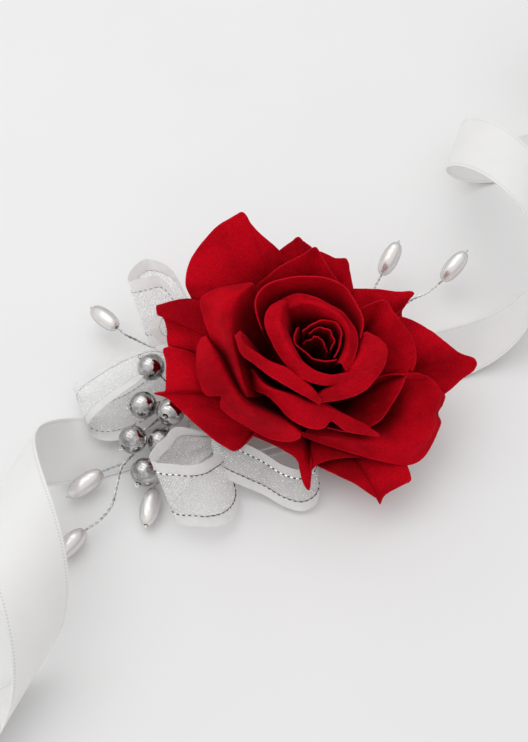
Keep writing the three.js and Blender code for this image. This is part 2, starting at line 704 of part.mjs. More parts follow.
const BEADS = {
  silver_bead_back: [-38.5, 16.1, 15],
  silver_bead_upper: [-44, 5.1, 12.5],
  silver_bead_inner: [-37, -1, 14.5],
  silver_bead_left: [-49.7, -4.6, 10.8],
  silver_bead_low: [-48.9, -14.4, 7.5],
  silver_bead_hidden: [-41.74, -6.04, 7.7],
};
const STRUNG_BEAD = 'silver_bead_hidden';
const BEAD_ROOT = V(WRAP_X[0] - SEAT_GAP, WRAP_Y, WRAP_Z);
const BEAD_FORK = V(-31, 6.5, 8);
const beadBore = STEM_D / 2 + WIRE_RUN;
const grownBead = [[0, -1], [0.58, -0.82], [0.9, -0.44], [1, 0], [0.9, 0.44], [0.58, 0.82], [0, 1]]
  .map((q) => q.map((v) => v * (BEAD_R + SEAT_GAP)));

// Frame at a point with Z towards another
function along(from, to) {
  const turn = new THREE.Quaternion().setFromUnitVectors(V(0, 0, 1), to.clone().sub(from).normalize());
  return new THREE.Matrix4().compose(from, turn, V(1, 1, 1));
}

const beadTrunk = curveThrough([BEAD_ROOT, V(-28.5, 7.6, 7.6), BEAD_FORK], 2);
let beadWire = toManifold(wireSolid(beadTrunk, beadTrunk.map(() => BEAD_TRUNK_R)));
for (const [name, at] of Object.entries(BEADS)) {
  const centre = V(...at);
  const dir = centre.clone().sub(BEAD_FORK).normalize();
  const frame = along(centre, centre.clone().add(dir));
  const bead = boredBead(BEAD_R, BEAD_R * 0.97, beadBore, 1, ROUND_SIDES, 6);
  add(name, bead.applyMatrix4(frame), 'silver', turned(grownBead, ROUND_SIDES).applyMatrix4(frame));
  if (name !== STRUNG_BEAD) {
    const past = [0.25, 0.55, END_LOOP_OUT].map((d) => centre.clone().addScaledVector(dir, BEAD_R + d));
    const path = [BEAD_FORK.clone().addScaledVector(dir, -0.3), centre, ...past];
    const radii = [STEM_D / 2, STEM_D / 2, STEM_D / 2, END_LOOP_R, END_LOOP_R];
    beadWire = beadWire.add(toManifold(wireSolid(path, radii)));
  }
}
add('bead_wire', toGeometry(beadWire), 'wire', null, false);

// Pearl drops: a twisted stem, a thin run through the pearl and a small end loop

function stemSolid(path, tip) {
  const smooth = curveThrough(path, 2);
  const near = path[path.length - 1];
  const dir = tip.clone().sub(near).normalize();
  const neck = near.clone().addScaledVector(dir, 0.1);
  const over = [-0.35, -0.05, 0.6, 1.0].map((d) => tip.clone().addScaledVector(dir, d));
  const radii = [...smooth.map(() => STEM_D / 2), CORE_D / 2, CORE_D / 2];
  radii.push(END_LOOP_R, END_LOOP_R, END_LOOP_R * 0.6);
  return wireSolid([...smooth, neck, ...over], radii);
}

function trunkSolid(path) {
  const smooth = curveThrough(path, 2);
  return wireSolid(smooth, smooth.map(() => STEM_D / 2));
}

function addPearl(name, near, tip) {
  const mid = near.clone().add(tip).multiplyScalar(0.5);
  const half = near.distanceTo(tip) / 2 - 0.4;
  const g = boredBead(PEARL_R, half, CORE_D / 2 + WIRE_RUN, 0.8, 10, 6).applyMatrix4(along(mid, tip));
  add(name, g, 'pearl', null, false);
}

// Tip of a pearl from its near end and the direction it points
function pearlTip(near, towards) {
  return near.clone().addScaledVector(towards.clone().sub(near).normalize(), PEARL_LENGTH);
}

const ROOT_LEFT = WRAP_X[0] - ROOT_GAP;
const ROOT_RIGHT = WRAP_X[1] + ROOT_GAP;
const STEMS = {
  back_left: {
    root: V(ROOT_LEFT, WRAP_Y + 1.6, WRAP_Z - 1),
    path: [V(-29, 20, 4.2), V(-33, 29, 3.4), V(-38.5, 33.6, 5.4), V(-42.3, 35.6, 8), V(-44.2, 38.4, 8.8)],
    towards: V(-51.7, 52, 8.2),
  },
  front_left: {
    root: V(ROOT_LEFT, WRAP_Y - 1.6, WRAP_Z - 1.4),
    path: [V(-31, 0, 5.6), V(-36, -7.5, 4.8), V(-42, -13.2, 3.9), V(-47.3, -18, 3.5)],
    towards: V(-51.9, -27.5, 3.4),
  },
  back_right: {
    root: V(ROOT_RIGHT, WRAP_Y + 1.4, WRAP_Z + 0.6),
    path: [V(30, 19.5, 8.2), V(38.6, 27.6, 8.4), V(43.4, 32.2, 9.5)],
    towards: V(51.9, 39, 17),
  },
  far_right: {
    root: V(ROOT_RIGHT, WRAP_Y - 1.4, WRAP_Z - 0.8),
    path: [V(35, 14, 7.2), V(49.2, 20.9, 7.4), V(56, 22.4, 7.4), V(62.2, 25, 8)],
    towards: V(72.1, 29.1, 15.5),
  },
};
for (const [name, stem] of Object.entries(STEMS)) {
  const near = stem.path[stem.path.length - 1];
  const tip = pearlTip(near, stem.towards);
  add(`pearl_stem_${name}`, stemSolid([stem.root, ...stem.path], tip), 'wire', null, false);
  addPearl(`pearl_${name}`, near, tip);
}

// The left pair shares one stem that forks
const FORK = V(-52.6, -8.4, 6.6);
const forkRoot = [V(ROOT_LEFT, WRAP_Y, WRAP_Z - 1.8), V(-33, 3.4, 4.6), V(-42, -0.5, 3.7),
  V(-48.5, -4.6, 4.4), FORK];
const forkNear = [V(-55.6, -9.2, 6.4), V(-60.3, -9.2, 5.6)];
const forkFar = [V(-55.1, -10.6, 6.8), V(-57.6, -15.5, 6.5), V(-60.4, -21.1, 6), V(-64.8, -24.2, 5),
  V(-69.3, -25.5, 4.2)];
const nearTip = pearlTip(forkNear[1], V(-71.8, -13.4, 4.2));
const farTip = pearlTip(forkFar[4], V(-78.5, -31, 4));
const fork = toManifold(trunkSolid(forkRoot))
  .add(toManifold(stemSolid([FORK, ...forkNear], nearTip)))
  .add(toManifold(stemSolid([FORK, ...forkFar], farTip)));
add('pearl_stem_left', toGeometry(fork), 'wire', null, false);
addPearl('pearl_left_near', forkNear[1], nearTip);
addPearl('pearl_left_far', forkFar[4], farTip);

// Organza loops: strips gathered at both ends, opened out along the loop

function loopGrid(loop, sub) {
  const centre = curveThrough(loop.path.map((p) => V(...p)), sub);
  const ends = loop.across.map((a) => V(...a));
  const n = centre.length;
  return centre.map((p, i) => {
    const t = i / (n - 1);
    const rise = THREE.MathUtils.smoothstep(Math.min(t, 1 - t), 0.02, loop.gather);
    const open = GATHERED_SHARE + (1 - GATHERED_SHARE) * rise;
    const across = ends[0].clone().lerp(ends[1], t);
    return [0.5, 0, -0.5].map((side) => p.clone().addScaledVector(across, -side * open));
  });
}

const LOOPS = {
  organza_high: {
    across: [[1.7, -15.4, -15.5], [1.7, -15.4, -15.5]],
    gather: 0.24,
    path: [[-20.5, 11, 6], [-19.5, 30, 7.4], [-22, 42.5, 9.2], [-28.6, 48, 10.4], [-34.4, 43.6, 12.4],
      [-36.8, 37.8, 14.2], [-32.6, 35.5, 16.4], [-27.2, 34.4, 16.4], [-22, 24, 13], [-18.5, 11, 9.6]],
  },
  organza_left: {
    across: [[-0.8, -16, 8], [3.4, -18.5, -5]],
    gather: 0.2,
    path: [[-23.5, 10.4, 9.4], [-34, 20.4, 12.8], [-44.8, 18.8, 13], [-52.6, 16.6, 12],
      [-59.4, 14.6, 10], [-62, 13.2, 7.2], [-60, 10.8, 4.9], [-54.4, 9.4, 4.3], [-46, 10.6, 4.2],
      [-36.5, 13.6, 5.2], [-30.5, 13.4, 7.4], [-23.6, 10.9, 8.4]],
  },
  organza_front_left: {
    across: [[3, -13.3, -16], [2.5, -15.3, -10.2]],
    gather: 0.24,
    path: [[-22, -8, 4.8], [-27, -11.5, 8], [-35, -14.6, 12.3], [-39.4, -19, 12.7],
      [-43.4, -22.1, 13.8], [-45.7, -24.9, 14], [-44.2, -27.2, 14], [-40.3, -28.8, 13.9],
      [-36.1, -29.9, 12.9], [-30.9, -28.7, 10.6], [-25.7, -22.9, 7.2], [-25.4, -12.6, 7],
      [-20, -9.4, 6.2]],
  },
  organza_front: {
    across: [[-3, -13, -7.6], [-1, -7, -8]],
    gather: 0.2,
    path: [[-15, -8.4, 4.8], [-21, -11, 7.6], [-27.5, -12.4, 11.7], [-27.7, -15.6, 12.2],
      [-25.6, -18.4, 11.3], [-21.2, -21.7, 9.3], [-16, -25.5, 7.1], [-11.8, -30.3, 6.1],
      [-7.3, -33.4, 6.1], [-3, -32.7, 6.3], [-0.9, -29.3, 7.2], [-1.5, -22.5, 7.4], [-6, -16, 6.6],
      [-11, -9.8, 5.2]],
  },
  organza_small: {
    across: [[8.8, 1.3, -3], [8.8, 1.3, -3]],
    gather: 0.2,
    path: [[-22, 11.4, 10.6], [-24.4, 26, 16], [-26, 32, 17.6], [-28.8, 31.8, 17.8], [-31.4, 28, 17.8],
      [-30.6, 25.4, 15.8], [-26.6, 22, 13], [-21, 10.8, 9.8]],
  },
};
for (const [name, loop] of Object.entries(LOOPS)) {
  const grid = loopGrid(loop, 2);
  const grown = sheetSolid(grid, ORGANZA_THICK + 2 * SEAT_GAP);
  add(name, sheetSolid(grid, ORGANZA_THICK), 'organza', grown);
}

export default group;
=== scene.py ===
"""Looks of a wrist corsage: cloth rose, sheer loops, beads, pearl drops and satin ribbon."""

import math

import bpy
import numpy as np
from bpy.props import FloatProperty, FloatVectorProperty, PointerProperty
from bpy.types import Operator, Panel, PropertyGroup
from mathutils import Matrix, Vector


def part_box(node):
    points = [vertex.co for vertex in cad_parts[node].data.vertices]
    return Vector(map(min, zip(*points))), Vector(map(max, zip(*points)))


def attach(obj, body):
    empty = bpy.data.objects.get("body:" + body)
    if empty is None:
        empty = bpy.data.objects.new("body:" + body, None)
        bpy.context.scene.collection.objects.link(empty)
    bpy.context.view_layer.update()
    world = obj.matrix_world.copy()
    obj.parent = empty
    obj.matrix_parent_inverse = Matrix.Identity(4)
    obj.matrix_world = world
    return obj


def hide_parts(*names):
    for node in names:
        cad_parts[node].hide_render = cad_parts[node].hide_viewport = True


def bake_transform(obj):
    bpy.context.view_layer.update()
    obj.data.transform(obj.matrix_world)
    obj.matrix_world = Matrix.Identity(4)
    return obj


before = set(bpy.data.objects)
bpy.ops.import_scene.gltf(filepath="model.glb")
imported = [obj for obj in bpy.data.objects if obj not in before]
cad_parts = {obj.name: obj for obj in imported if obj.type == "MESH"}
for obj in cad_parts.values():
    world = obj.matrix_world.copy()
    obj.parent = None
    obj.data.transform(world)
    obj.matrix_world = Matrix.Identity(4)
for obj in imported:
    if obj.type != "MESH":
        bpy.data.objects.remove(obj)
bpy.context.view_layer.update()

bl_info = {
    "name": "Wrist corsage",
    "version": (1, 0, 0),
    "blender": (4, 5, 0),
    "location": "View3D > Sidebar > Corsage",
    "description": "Builds the looks of a wrist corsage round its packed model",
    "category": "Add Mesh",
}

MM = 0.001
SHARP_ANGLE = 40
TANGENT_REACH = 1.15

# Felt and ribbon in millimetres; the felt's edge is (share of its outline, rise)
FELT_CORNER = 9
FELT_EDGE = [(0.02, 0), (0.35, 0), (0.7, 0), (0.9, 0), (0.985, 0.05), (1.0, 0.3)]
FELT_EDGE_RINGS = slice(4, 8)
FELT_WAVE = (2.1, 1.7)
FELT_UNEVEN = 0.0024
BAND_HALF = 30.2
BAND_LEVEL = 1.7
RIBBON_Y = 1.6
CURL_REST = 0.35
STITCH_LINE = 8.9
STITCH_PITCH = 0.9
BAND_GRID = (60, 15)
TAIL_COLUMNS = 13
TAIL_STEP = 0.18
TAIL_EASE = 16
LEFT_CURL = {"side": -1, "start": 50.6, "radius": 17.2, "angle": 42.6, "length": 262}
RIGHT_CURL = {"side": 1, "start": 58.6, "radius": 20.2, "angle": 36.8, "length": 252}

# Petal cloth; the outer shade is how far the painted shade darkens an outer petal towards its base
PETAL_ROWS = (22, 12)
PETAL_COLUMNS = 60
PETAL_CREASE = 0.16
# How far the painted shade in folds reaches, in millimetres
FOLD_SHADE_REACH = 11
OUTER_SHADE = 0.6
CREASES = (1.0, 0.7, 0.5, 0.35, 0.25)
NIBBLES = (5, 9, 14, 23)

# Sheer loops; the glow is the share of light that a layer scatters on
LOOP_ROWS = 12
LOOP_COLUMNS = 41
LOOP_SEED = 50
EDGE_THICKER = 1.5
GATHERED_SHARE = 0.16
PLEATS = 4
PLEAT_DEPTH = 0.55
RIPPLES = (3, 5, 8, 13)
RIPPLE_DEPTH = 0.06
SHEER_GLOW = 0.7

# Silver thread beside each satin edge, thinner on the far loops
THREAD_STEP = 0.5
THREAD_SIDES = 6
THREAD_TURN = 1.7
THREAD_RAISE = 0.12
FAR_THREAD = 0.6

# Wire, beads and pearls
CURVE_STEPS = 8
STRAND_STEP = 0.3
WIRE_SIDES = 7
TUBE_START = (0.31, 0.17, 0.94)
BEAD_BORE = 0.8
BEAD_SQUASH = 0.97
BEAD_SEGMENTS = 56
PEARL_BORE = 0.6
PEARL_POWER = 0.8
PEARL_INSET = 0.4
PEARL_SEGMENTS = 48
PEARL_WIRE = 0.3
PEARL_WIRE_ENDS = (0.4, 0.2)
PEARL_EYE = 0.15
BEAD_CLEAR = 0.15
BEAD_EYE = 0.3
PROFILE_STEPS = 40
BORE_LIP = 0.12
BORE_INSET = 0.1

# Rose frame
ROSE_SKEW = -18
ROSE_TILT = 12
ROSE_BASE = (6.1, -4.4, 6.9)

# Under the petals: profiles of (radius, height), the collar of the petals' feet and the sepal cup
RECEPTACLE = [(0.1, -2), (3.6, -2), (4.0, -1.8), (4.6, 0), (5.2, 4), (4.9, 7), (3.9, 8.3), (2.9, 8.9),
              (2.1, 9.9), (1.2, 11.4), (0.5, 12.3), (0.1, 12.4)]
COLLAR_RADII = (4.4, 16)
COLLAR_TOP = 8.8
COLLAR_DROP = 3
COLLAR_HALF = 0.2
SEPALS = 5
SEPAL_REACH = 7.2
SEPAL_RISE = 1.6
SEPAL_RIDGE = 0.25
CALYX_RADIUS = 5.5
CALYX_NOTCH = 1.2
CALYX_LEVEL = 2.2
CALYX_HALF = 0.3

# Taped bundle, its knot, and the glue's profile of (share of its reach, height)
WRAP_X = (-26, 20)
WRAP_Y = 8
WRAP_Z = 7.4
WRAP_R = 2.6
TAPE_PITCH = 7
TAPE_INSET = 0.18
TAPE_STEP = 0.16
WRAP_END = 0.8
KNOT_X = (-22, -14)
KNOT_R = 3.6
KNOT_HALF = 0.42
KNOT_CREASES = 11
KNOT_CREASE = 0.14
GLUE_PROFILE = [(0.01, 0), (0.6, 0), (0.95, 0), (1, 0.4), (0.97, 0.8), (0.86, 1.6), (0.6, 2.6), (0.3, 3.1),
                (0.01, 3.2)]

# Camera, millimetres and degrees
VIEW_AZIMUTH = -18
VIEW_ELEVATION = 55
VIEW_DISTANCE = 330
VIEW_SHIFT_RIGHT = -6.7
VIEW_SHIFT_AWAY = 10.5
VIEW_SHIFT_Y = 2
VIEW_LENS = 50
VIEW_NEAR = 10

# Window panes in watts and metres, room and table; leans are shares to the right and away
LAMP_POWER = 0.52
LAMP_DISTANCE = 0.5
PANE_SIZE = (0.14, 0.44)
PANE_STEP = 0.185
PANES = (-1, 0, 1)
WINDOW_LEAN = (-0.32, 0.2)
ROOM_LEAN = (-0.3, -0.2)
ROOM_LEVELS = (0.42, 1.0)
TABLE_HALF = 4000
TABLE_LEVEL = -0.05

# Part of a noise that shows as soft clouds, and the matt finishes
CLOUD_BAND = (0.35, 0.7)
LEAF_FINISH = {"scale": 220.0, "nap_scale": 900.0, "rough": 0.62, "distance": 0.2}
FELT_FINISH = {"scale": 150.0, "nap_scale": 1800.0, "rough": 0.94, "distance": 0.5}
TAPE_FINISH = {"scale": 300.0, "nap_scale": 1100.0, "rough": 0.7, "distance": 0.25}
GLUE_FINISH = {"scale": 120.0, "nap_scale": 260.0, "rough": 0.38, "distance": 0.2}


def petal_net(base_radius, base_height, spread, rise, *rows):
    """One petal: its base, the rise angles of base and rows, and rows of (azimuth, radius, height)."""
    return {"r0": base_radius, "z0": base_height, "spread": spread, "rise": rise, "rows": rows}


PETALS = {
    "petal_core": petal_net(
        1.0, 13, 1, [86, 88],
        [(171, 4, 38), (153, 2.5, 39.5), (109, 2, 40.5), (20, 1.5, 39.5), (-31, 3.5, 38)],
    ),
    "petal_heart_in": petal_net(
        1.8, 12, 1, [84, 88],
        [(127, 4, 40), (87, 4, 41), (48, 4.5, 41.5), (14, 4.5, 41), (-30, 4, 40)],
    ),
    "petal_heart_right": petal_net(
        2.4, 11, 1, [80, 84],
        [(140, 5.5, 40.5), (104, 5.2, 41.6), (70, 6, 42.4), (39, 7, 42.6), (9, 6.6, 42.4),
         (-22, 6.3, 41.8), (-47, 6, 41)],
    ),
    "petal_heart_left": petal_net(
        2.8, 10.5, 1, [80, 84],
        [(141, 6.4, 41.4), (158, 6.4, 42), (180, 6.3, 42.3), (206, 5.7, 42.3), (235, 5.2, 42),
         (262, 5.5, 41.7), (290, 6.3, 41.3), (315, 7, 40.8)],
    ),
    "petal_bud_right": petal_net(
        3.4, 10, 0.95, [70, 65, 0],
        [(150, 13, 40), (130, 12, 41.6), (109, 10.7, 43), (88, 9.2, 43.5), (66, 8.4, 43.6),
         (38, 8.4, 43.5), (10, 8.2, 43.3), (-25, 8.3, 42.9), (-50, 9, 42.2)],
        [(152, 16.4, 39.2), (132, 16.2, 40.4), (111, 15.3, 41.4), (91, 12.9, 41.8), (69, 11, 41.9),
         (42, 10.9, 41.7), (9, 11, 41.5), (-24, 11, 41.2), (-51, 11.8, 40.7)],
    ),
    "petal_bud_left": petal_net(
        3.6, 9.5, 0.95, [66, 60, -30],
        [(129, 13.8, 43.4), (141, 12.2, 45), (159, 10.5, 45.5), (184, 8.9, 45.5), (215, 8.4, 45),
         (245, 9.1, 44.5), (273, 10.7, 44), (292, 11.9, 43.4), (313, 13, 42.3)],
        [(132, 15.5, 43), (143, 16, 42.8), (158, 15.2, 42.4), (180, 12.8, 41.9), (214, 11.2, 41.5),
         (246, 11.5, 41), (273, 12.4, 40.6), (293, 13.3, 40.8), (315, 13.7, 41.8)],
    ),
    "petal_wrap_top": petal_net(
        4.2, 9, 0.9, [62, 80],
        [(165, 15.5, 40), (155, 18.5, 43), (145, 20.5, 44.5), (133, 20.5, 45), (118, 19, 45),
         (101, 18, 45), (82, 17.5, 45), (62, 16.5, 45), (44, 14.5, 44.5), (24, 13, 43.5), (3, 11.5, 42)],
    ),
    "petal_wrap_right": petal_net(
        4.5, 9, 0.8, [50, 60, -35],
        [(11, 12.5, 41), (-6, 11.5, 41), (-22, 11.5, 41), (-40, 11.5, 41), (-57, 12, 40.5), (-75, 13, 40),
         (-92, 14.5, 38)],
        [(14, 14.2, 40), (7, 17.5, 38), (-1, 19, 36.5), (-15, 19, 36), (-35, 18, 36), (-56, 16.8, 36),
         (-90, 16, 36.4)],
    ),
    "petal_wrap_left": petal_net(
        4.5, 9, 0.8, [50, 64, -45],
        [(173, 21, 42), (185, 19, 42), (195, 16.5, 42), (208, 14, 42), (226, 11.5, 41.5), (247, 11.5, 41),
         (262, 13, 40), (273, 15.5, 38)],
        [(174, 22.5, 40.2), (187, 20.8, 39.3), (198, 18, 39), (213, 16, 38.5), (231, 14.5, 38),
         (248, 14.5, 37.5), (259, 14.8, 37.2), (272, 16.5, 36.4)],
    ),
    "petal_mid_low": petal_net(
        5.0, 8, 0.55, [30, 62, -50],
        [(-166, 18, 32.2), (-158, 17.2, 32.2), (-148, 16.8, 33), (-139, 16.3, 34), (-128, 15, 34.5),
         (-113, 14, 34.5), (-98, 14.5, 34), (-85, 14.5, 33.5), (-76, 16.5, 33), (-69, 18.5, 32),
         (-62, 21, 31), (-56, 24, 30), (-53, 27, 28)],
        [(-168, 19.4, 29.2), (-160, 19.5, 28.6), (-151, 19.1, 28.6), (-142, 18.1, 30.6), (-129, 17.8, 31),
         (-115, 19, 29.5), (-102, 20, 28.5), (-91, 20.5, 28), (-84, 20, 28), (-77, 18.5, 28.5),
         (-69, 22, 27.5), (-61, 24.8, 27), (-52, 28, 26.4)],
    ),
    "petal_mid_right": petal_net(
        5.5, 8, 0.55, [22, [40, 40, 35, 25, 20, 15, 10, 5]],
        [(49, 16.5, 34), (43, 20, 36), (37, 24, 37), (28, 24.5, 36), (18, 26, 34), (9, 28, 31),
         (1, 28.5, 28), (-7, 27.5, 25)],
    ),
    "petal_mid_top": petal_net(
        5.5, 8, 0.55, [26, [20, 35, 45, 50, 50, 50, 50, 50, 45, 40]],
        [(139, 26, 32), (130, 26, 35), (120, 26, 37), (108, 27, 38), (97, 28.5, 38.5), (90, 30.5, 39),
         (87, 29, 38), (81, 25.5, 36), (73, 23.5, 33), (64, 22, 29)],
    ),
    "petal_mid_left": petal_net(
        5.5, 8, 0.5, [30, 58, -25],
        [(131, 26.5, 36), (143, 26, 37), (154, 25, 37), (167, 23, 37), (182, 21.5, 36), (198, 21.5, 34),
         (212, 22, 30)],
        [(131, 28.4, 34.6), (141, 32, 34.5), (151, 36.5, 33), (158, 34, 30), (170, 29.5, 28),
         (188, 25.8, 27), (210, 24.6, 26)],
    ),
    "petal_mid_low_left": petal_net(
        5.5, 7.5, 0.55, [24, 58, -55],
        [(167, 31.5, 29), (174, 28.5, 30), (184, 26, 31), (196, 24.5, 31), (208, 24, 31), (217, 23.5, 31),
         (228, 22, 30.5), (242, 20.5, 29.5), (252, 20.6, 27.8), (258, 21.2, 25.8)],
        [(167, 32.8, 27.4), (173, 34, 25), (183, 33.5, 23), (194, 32, 22), (199, 28, 24), (205, 29, 22.5),
         (217, 27, 22), (235, 24.8, 21.5), (250, 23.2, 21.9), (258.5, 22, 24.2)],
    ),
    "petal_mid_low_right": petal_net(
        5.5, 7.5, 0.6, [26, 30],
        [(14, 26, 27), (0, 26.5, 27), (-14, 25.5, 26), (-30, 24.5, 25), (-46, 24, 24.5), (-62, 22.5, 24),
         (-80, 18.5, 23)],
    ),
    "petal_outer_low_right": petal_net(
        6, 6.5, 0.5, [16, 8, -35],
        [(-9, 23.5, 27), (-6, 29.5, 26), (-9, 34, 23), (-16, 35.5, 21), (-21, 35.5, 20), (-28, 36, 19.5),
         (-36, 35, 19.5), (-44, 32, 20.5), (-54, 26.5, 22), (-69, 22, 22), (-84, 19, 20), (-98, 17.6, 18)],
        [(-9, 26, 25), (-8, 33, 23), (-10, 38, 19), (-14, 38, 18), (-18, 37.5, 17), (-22, 39, 16),
         (-36, 39, 14), (-45, 37, 14), (-57, 29.5, 15.5), (-75, 22.5, 15.5), (-99, 18.5, 15),
         (-112, 17.5, 14)],
    ),
    "petal_outer_top_left": petal_net(
        6, 7, 0.45, [18, [10, 5, 5, 10, 20, 25, 25, 30, 30, 30, 25]],
        [(149, 41.5, 24), (146, 45, 28), (140, 47, 31), (133, 47.5, 34), (126, 48, 36), (120, 47.5, 37.5),
         (116, 47, 38.5), (115, 43.5, 37), (112, 39, 35), (107, 35, 32), (100, 30.5, 27)],
    ),
    "petal_outer_left": petal_net(
        6, 6, 0.5, [12, 4],
        [(148, 39, 25), (150, 42.5, 25), (153, 45.5, 25), (157, 49, 25), (158, 49.5, 25),
         (160, 48.5, 24.5), (160, 47, 23), (163, 45, 21), (168, 43.5, 19), (169, 40.5, 16)],
    ),
    "petal_outer_right": petal_net(
        6, 5.5, 0.5, [12, 6],
        [(35, 30, 22), (28, 32.5, 23), (20, 35.5, 23), (14, 38, 23), (7, 42, 22.5), (4, 46.5, 22),
         (1, 46.5, 20), (-2, 43, 18), (-8, 38, 15), (-11, 33.5, 12)],
    ),
    "petal_outer_low_front": petal_net(
        6, 5.5, 0.6, [14, [-10, -10, -15, -20, -30, -40, -40, -40, -30, -20, -10, -10]],
        [(-136, 25, 14), (-124, 23.5, 14), (-113, 23.5, 14), (-102, 25, 13.5), (-99, 27.5, 12.5),
         (-96, 31, 11), (-93, 32.5, 10), (-92, 30.5, 11), (-92, 27.5, 12), (-87, 25.5, 13),
         (-75, 25, 13.5), (-61, 27, 13)],
    ),
    "petal_outer_top_right": petal_net(
        6, 6.5, 0.5, [18, 24],
        [(91, 34, 30), (86, 33.5, 31), (79, 32, 31), (73, 32.5, 31), (70, 30.5, 29), (65, 27.5, 25),
         (62, 26.5, 20)],
    ),
    "petal_outer_top": petal_net(
        6, 6.5, 0.5, [18, 30],
        [(113, 35, 27), (106, 35.5, 31), (101, 36.5, 32), (97, 37.5, 33), (94, 36, 32), (90, 35, 30),
         (83, 33, 26)],
    ),
    "petal_outer_right_high": petal_net(
        6, 6, 0.5, [14, 12],
        [(72, 27, 22), (63, 28, 24), (53, 30.5, 25), (43, 34, 25.5), (38, 37, 26), (37, 35, 24),
         (36, 32.5, 22), (34, 32, 18)],
    ),
    "petal_outer_low_left": petal_net(
        6, 5.5, 0.55, [10, [0, -5, -5, -10, -10, -5, -5, -10, -10, -10, -10, 0, 0]],
        [(169, 43, 20), (171, 44.5, 20), (176, 43, 19), (184, 43, 18.5), (187, 43.5, 18), (187, 46.5, 17),
         (189, 43, 16), (195, 39.5, 14.5), (203, 36.5, 13), (212, 34, 12), (222, 31.5, 11),
         (223, 28.5, 11), (223, 24.5, 12)],
    ),
    "petal_outer_low": petal_net(
        6, 5, 0.6, [8, 2],
        [(-89, 25, 10), (-78, 28.5, 10.5), (-70, 33, 11.5), (-66, 37.5, 12.5), (-64, 40, 13),
         (-64, 41.5, 13), (-61, 40, 13), (-55, 40, 13.5), (-49, 41, 14), (-47, 39.5, 14), (-45, 37, 14)],
    ),
}

# Each loop: its width across, the share that is gathered, and its path
LOOPS = {
    "organza_high": {
        "across": ((1.7, -15.4, -15.5), (1.7, -15.4, -15.5)), "gather": 0.24,
        "path": [(-20.5, 11, 6), (-19.5, 30, 7.4), (-22, 42.5, 9.2), (-28.6, 48, 10.4),
                 (-34.4, 43.6, 12.4), (-36.8, 37.8, 14.2), (-32.6, 35.5, 16.4), (-27.2, 34.4, 16.4),
                 (-22, 24, 13), (-18.5, 11, 9.6)],
    },
    "organza_left": {
        "across": ((-0.8, -16, 8), (3.4, -18.5, -5)), "gather": 0.2,
        "path": [(-23.5, 10.4, 9.4), (-34, 20.4, 12.8), (-44.8, 18.8, 13), (-52.6, 16.6, 12),
                 (-59.4, 14.6, 10), (-62, 13.2, 7.2), (-60, 10.8, 4.9), (-54.4, 9.4, 4.3),
                 (-46, 10.6, 4.2), (-36.5, 13.6, 5.2), (-30.5, 13.4, 7.4), (-23.6, 10.9, 8.4)],
    },
    "organza_front_left": {
        "across": ((3, -13.3, -16), (2.5, -15.3, -10.2)), "gather": 0.24,
        "path": [(-22, -8, 4.8), (-27, -11.5, 8), (-35, -14.6, 12.3), (-39.4, -19, 12.7),
                 (-43.4, -22.1, 13.8), (-45.7, -24.9, 14), (-44.2, -27.2, 14), (-40.3, -28.8, 13.9),
                 (-36.1, -29.9, 12.9), (-30.9, -28.7, 10.6), (-25.7, -22.9, 7.2), (-25.4, -12.6, 7),
                 (-20, -9.4, 6.2)],
    },
    "organza_front": {
        "across": ((-3, -13, -7.6), (-1, -7, -8)), "gather": 0.2,
        "path": [(-15, -8.4, 4.8), (-21, -11, 7.6), (-27.5, -12.4, 11.7), (-27.7, -15.6, 12.2),
                 (-25.6, -18.4, 11.3), (-21.2, -21.7, 9.3), (-16, -25.5, 7.1), (-11.8, -30.3, 6.1),
                 (-7.3, -33.4, 6.1), (-3, -32.7, 6.3), (-0.9, -29.3, 7.2), (-1.5, -22.5, 7.4),
                 (-6, -16, 6.6), (-11, -9.8, 5.2)],
    },
    "organza_small": {
        "across": ((8.8, 1.3, -3), (8.8, 1.3, -3)), "gather": 0.2,
        "path": [(-22, 11.4, 10.6), (-24.4, 26, 16), (-26, 32, 17.6), (-28.8, 31.8, 17.8),
                 (-31.4, 28, 17.8), (-30.6, 25.4, 15.8), (-26.6, 22, 13), (-21, 10.8, 9.8)],
    },
}

BEADS = {
    "silver_bead_back": (-38.5, 16.1, 15),
    "silver_bead_upper": (-44, 5.1, 12.5),
    "silver_bead_inner": (-37, -1, 14.5),
    "silver_bead_left": (-49.7, -4.6, 10.8),
    "silver_bead_low": (-48.9, -14.4, 7.5),
    "silver_bead_hidden": (-41.74, -6.04, 7.7),
}
STRUNG_BEAD = "silver_bead_hidden"
BEAD_TRUNK = [(-26.3, 8, 7.4), (-28.5, 7.6, 7.6), (-31, 6.5, 8)]

# Pearl stems: path from the bundle to the pearl, and the point that the pearl points to
STEMS = {
    "back_left": {
        "path": [(-26.75, 9.6, 6.4), (-29, 20, 4.2), (-33, 29, 3.4), (-38.5, 33.6, 5.4), (-42.3, 35.6, 8),
                 (-44.2, 38.4, 8.8)],
        "towards": (-51.7, 52, 8.2),
    },
    "front_left": {
        "path": [(-26.75, 6.4, 6), (-31, 0, 5.6), (-36, -7.5, 4.8), (-42, -13.2, 3.9), (-47.3, -18, 3.5)],
        "towards": (-51.9, -27.5, 3.4),
    },
    "back_right": {
        "path": [(20.75, 9.4, 8), (30, 19.5, 8.2), (38.6, 27.6, 8.4), (43.4, 32.2, 9.5)],
        "towards": (51.9, 39, 17),
    },
    "far_right": {
        "path": [(20.75, 6.6, 6.6), (35, 14, 7.2), (49.2, 20.9, 7.4), (56, 22.4, 7.4), (62.2, 25, 8)],
        "towards": (72.1, 29.1, 15.5),
    },
}
FORK_TRUNK = [(-26.75, 8, 5.6), (-33, 3.4, 4.6), (-42, -0.5, 3.7), (-48.5, -4.6, 4.4), (-52.6, -8.4, 6.6)]
